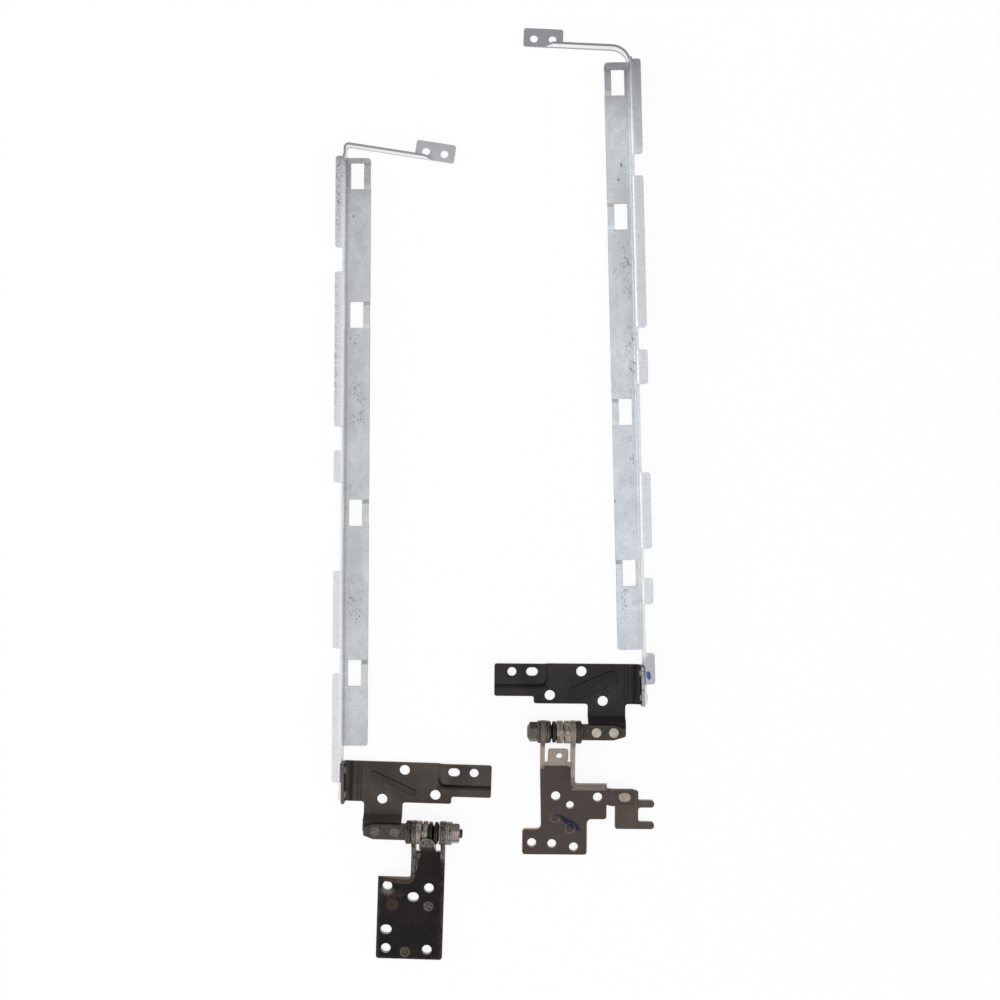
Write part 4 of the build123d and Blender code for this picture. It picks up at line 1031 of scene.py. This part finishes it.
def pointMesh(name, points, radii):
    mesh = bpy.data.meshes.new(name)
    mesh.from_pydata(points, [], [])
    attribute = mesh.attributes.new("radius", "FLOAT", "POINT")
    attribute.data.foreach_set("value", radii)
    return mesh


def keep(piece, body, slotName):
    piece.data.shade_smooth()
    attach(piece, body)


threadSettings = {
    "side": "left",
    "start": 42.28,
    "radius": 1.43,
    "pitch": 0.4,
    "turns": 2.1,
    "ridge": 0.13,
}


def makeThread():
    settings, side = threadSettings, threadSettings["side"]
    upright = Matrix.Rotation(math.radians(90), 4, "Y")
    stand = Matrix.Translation((settings["start"], 0, axisHeight)) @ upright
    values = {
        "Radius": settings["radius"], "Pitch": settings["pitch"], "Turns": settings["turns"],
        "Ridge": settings["ridge"], "Material": finishes[side + "Shaft"],
    }
    matrix = placeMatrix(hingePlace(side)) @ stand
    mesh = bpy.data.meshes.new("empty")
    piece = runTree(side + "ThreadRidge", mesh, geometryTrees["thread"], values, matrix)
    keep(piece, "lid_sides", "shaft_steel")


# Lips round the punched holes: (x, y, level, radius)
lipSettings = {
    "lip": 0.045,
    "rise": 0.6,
    "sides": 40,
    "lidHoles": [(22.25, 20.4, 1.0, 1.85), (14.7, 10.1, 1.0, 1.85), (33.2, 12.0, 1.0, 1.85),
                 (46.5, 20.3, 1.9, 1.6)],
    "baseHoles": {
        "left": [(17.5, -19.9, 1.5, 1.75), (32.0, -20.3, 1.5, 1.75), (17.6, -41.6, 1.5, 1.75),
                 (31.9, -41.8, 1.5, 1.75)],
        "right": [(30.85, -23.0, 1.5, 1.65), (16.25, -23.3, 1.5, 1.65), (25.85, -26.1, 1.5, 1.375),
                  (39.1, -39.3, 1.5, 1.6), (32.1, -39.6, 1.5, 1.6), (24.5, -40.7, 1.5, 1.6)],
    },
}


def makeLips(side, label, body, holes, slotName):
    points = [(x, y, level) for x, y, level, _ in holes]
    mesh = pointMesh(side + "LipPoints", points, [radius for *_, radius in holes])
    values = {
        "Lip": lipSettings["lip"], "Rise": lipSettings["rise"], "Sides": lipSettings["sides"],
        "Material": finishes[side + label],
    }
    name = side + label + "HoleLips"
    piece = runTree(name, mesh, geometryTrees["lip"], values, placeMatrix(hingePlace(side)))
    keep(piece, body, slotName)


greaseSettings = {
    "surface": {"Metallic": 0.0, "Specular IOR Level": 0.6, "Coat Weight": 0.4, "Coat Roughness": 0.1},
    "edgeWear": (0.05 * mm, 0.5),
    "dark": (0.045, 0.026, 0.012),
    "light": (0.155, 0.095, 0.045),
    "density": 1.1e6,
    "bead": 0.09 * mm,
    "seeds": {"left": 4, "right": 11},
}


def greaseFinish(side):
    f = Finish(side + "Grease", hingePlace(side), greaseSettings)
    f.colour = f.w.mix(f.w.noise(f.here, 1.8, 3), greaseSettings["dark"], greaseSettings["light"])
    return f.done(f.pattern((3.0, 2), (0.3, 0.7, 0.22, 0.4)))


def makeGrease(side):
    source = cadNodes[side + "_moving_cam"].data.copy()
    values = {
        "Density": greaseSettings["density"], "Bead": greaseSettings["bead"],
        "Seed": greaseSettings["seeds"][side], "Material": greaseFinish(side),
    }
    piece = runTree(side + "CamGrease", source, geometryTrees["bead"], values, Matrix.Identity(4))
    keep(piece, "lid_sides", "cam_steel")


makeThread()
for side in ("left", "right"):
    makeLips(side, "Lid", "lid_sides", lipSettings["lidHoles"], "lid_bracket_black")
    makeLips(side, "Base", side + "_base", lipSettings["baseHoles"][side], "base_bracket_black")
    makeGrease(side)
print("small pieces: thread, hole lips, grease")


# Studio
studioSettings = {
    "floorSize": 3.0,
    "floorDiffuse": 0.14,
    "floorGlow": 0.88,
    "floorBounce": 0.8,
    "skyLight": (0.93, 0.94, 0.96),
    "skyDim": (0.44, 0.45, 0.46),
    "skyFar": (0.12, 0.50),
    "keyPower": 1.6,
    "keySize": 0.4,
    "keyPlace": (-0.95, 0.20, 0.32),
    "cameraPlace": (0.002077, -0.002266, 0.330),
    "halfFrame": 0.175,
}


def makeFloor():
    size = studioSettings["floorSize"] / 2
    mesh = bpy.data.meshes.new("studioFloor")
    level = cadBox[0][2] - 0.00002
    corners = [(-size, -size, level), (size, -size, level), (size, size, level), (-size, size, level)]
    mesh.from_pydata(corners, [], [(0, 1, 2, 3)])
    floor = bpy.data.objects.new("studioFloor", mesh)
    bpy.context.collection.objects.link(floor)
    material = bpy.data.materials.new("studioFloorWhite")
    material.use_nodes = True
    material.node_tree.nodes.clear()
    w = Wiring(material.node_tree)
    white = (1.0, 1.0, 1.0, 1.0)
    bounce, matte = studioSettings["floorBounce"], studioSettings["floorDiffuse"]
    plain = w.node("ShaderNodeBsdfDiffuse", {"Color": (bounce, bounce, bounce, 1.0)}).outputs[0]
    seen = w.node("ShaderNodeBsdfDiffuse", {"Color": (matte, matte, matte, 1.0)}).outputs[0]
    values = {"Color": white, "Strength": studioSettings["floorGlow"]}
    glow = w.node("ShaderNodeEmission", values).outputs[0]
    seen = w.node("ShaderNodeAddShader", {0: seen, 1: glow}).outputs[0]
    path = w.node("ShaderNodeLightPath").outputs
    direct = w.most(path["Is Camera Ray"], path["Is Glossy Ray"], path["Is Transmission Ray"])
    mixed = w.node("ShaderNodeMixShader", {0: direct, 1: plain, 2: seen}).outputs[0]
    output = w.node("ShaderNodeOutputMaterial")
    w.tree.links.new(mixed, output.inputs[0])
    mesh.materials.append(material)


def makeSky():
    # Pale all round, dimmer towards the far end, so that metal has something to show
    world = bpy.data.worlds.new("studioSky")
    bpy.context.scene.world = world
    world.use_nodes = True
    world.node_tree.nodes.clear()
    w = Wiring(world.node_tree)
    direction = w.node("ShaderNodeTexCoord").outputs["Generated"]
    far = w.fade(w.parts(direction)[1], *studioSettings["skyFar"])
    colour = w.mix(far, studioSettings["skyLight"], studioSettings["skyDim"])
    path = w.node("ShaderNodeLightPath").outputs
    lit = w.node("ShaderNodeBackground", {"Color": colour, "Strength": 1.0}).outputs[0]
    white = w.node("ShaderNodeBackground", {"Color": (1, 1, 1, 1), "Strength": 1.0}).outputs[0]
    mixed = w.node("ShaderNodeMixShader", {0: path["Is Camera Ray"], 1: lit, 2: white}).outputs[0]
    output = w.node("ShaderNodeOutputWorld")
    w.tree.links.new(mixed, output.inputs[0])


def makeKeyLight():
    light = bpy.data.lights.new("softKey", "AREA")
    light.energy = studioSettings["keyPower"]
    light.size = studioSettings["keySize"]
    lamp = bpy.data.objects.new("softKey", light)
    lamp.location = studioSettings["keyPlace"]
    lamp.rotation_euler = (-lamp.location).to_track_quat("-Z", "Y").to_euler()
    bpy.context.collection.objects.link(lamp)


def makeCamera():
    camera = bpy.data.cameras.new("photoCamera")
    place = Vector(studioSettings["cameraPlace"])
    camera.angle = 2 * math.atan2(studioSettings["halfFrame"], place.z)
    camera.clip_start = 0.01
    holder = bpy.data.objects.new("photoCamera", camera)
    holder.location = place
    bpy.context.collection.objects.link(holder)
    bpy.context.scene.camera = holder


makeFloor()
makeSky()
makeKeyLight()
makeCamera()
bpy.context.scene.view_settings.view_transform = "Standard"
print("studio ready")
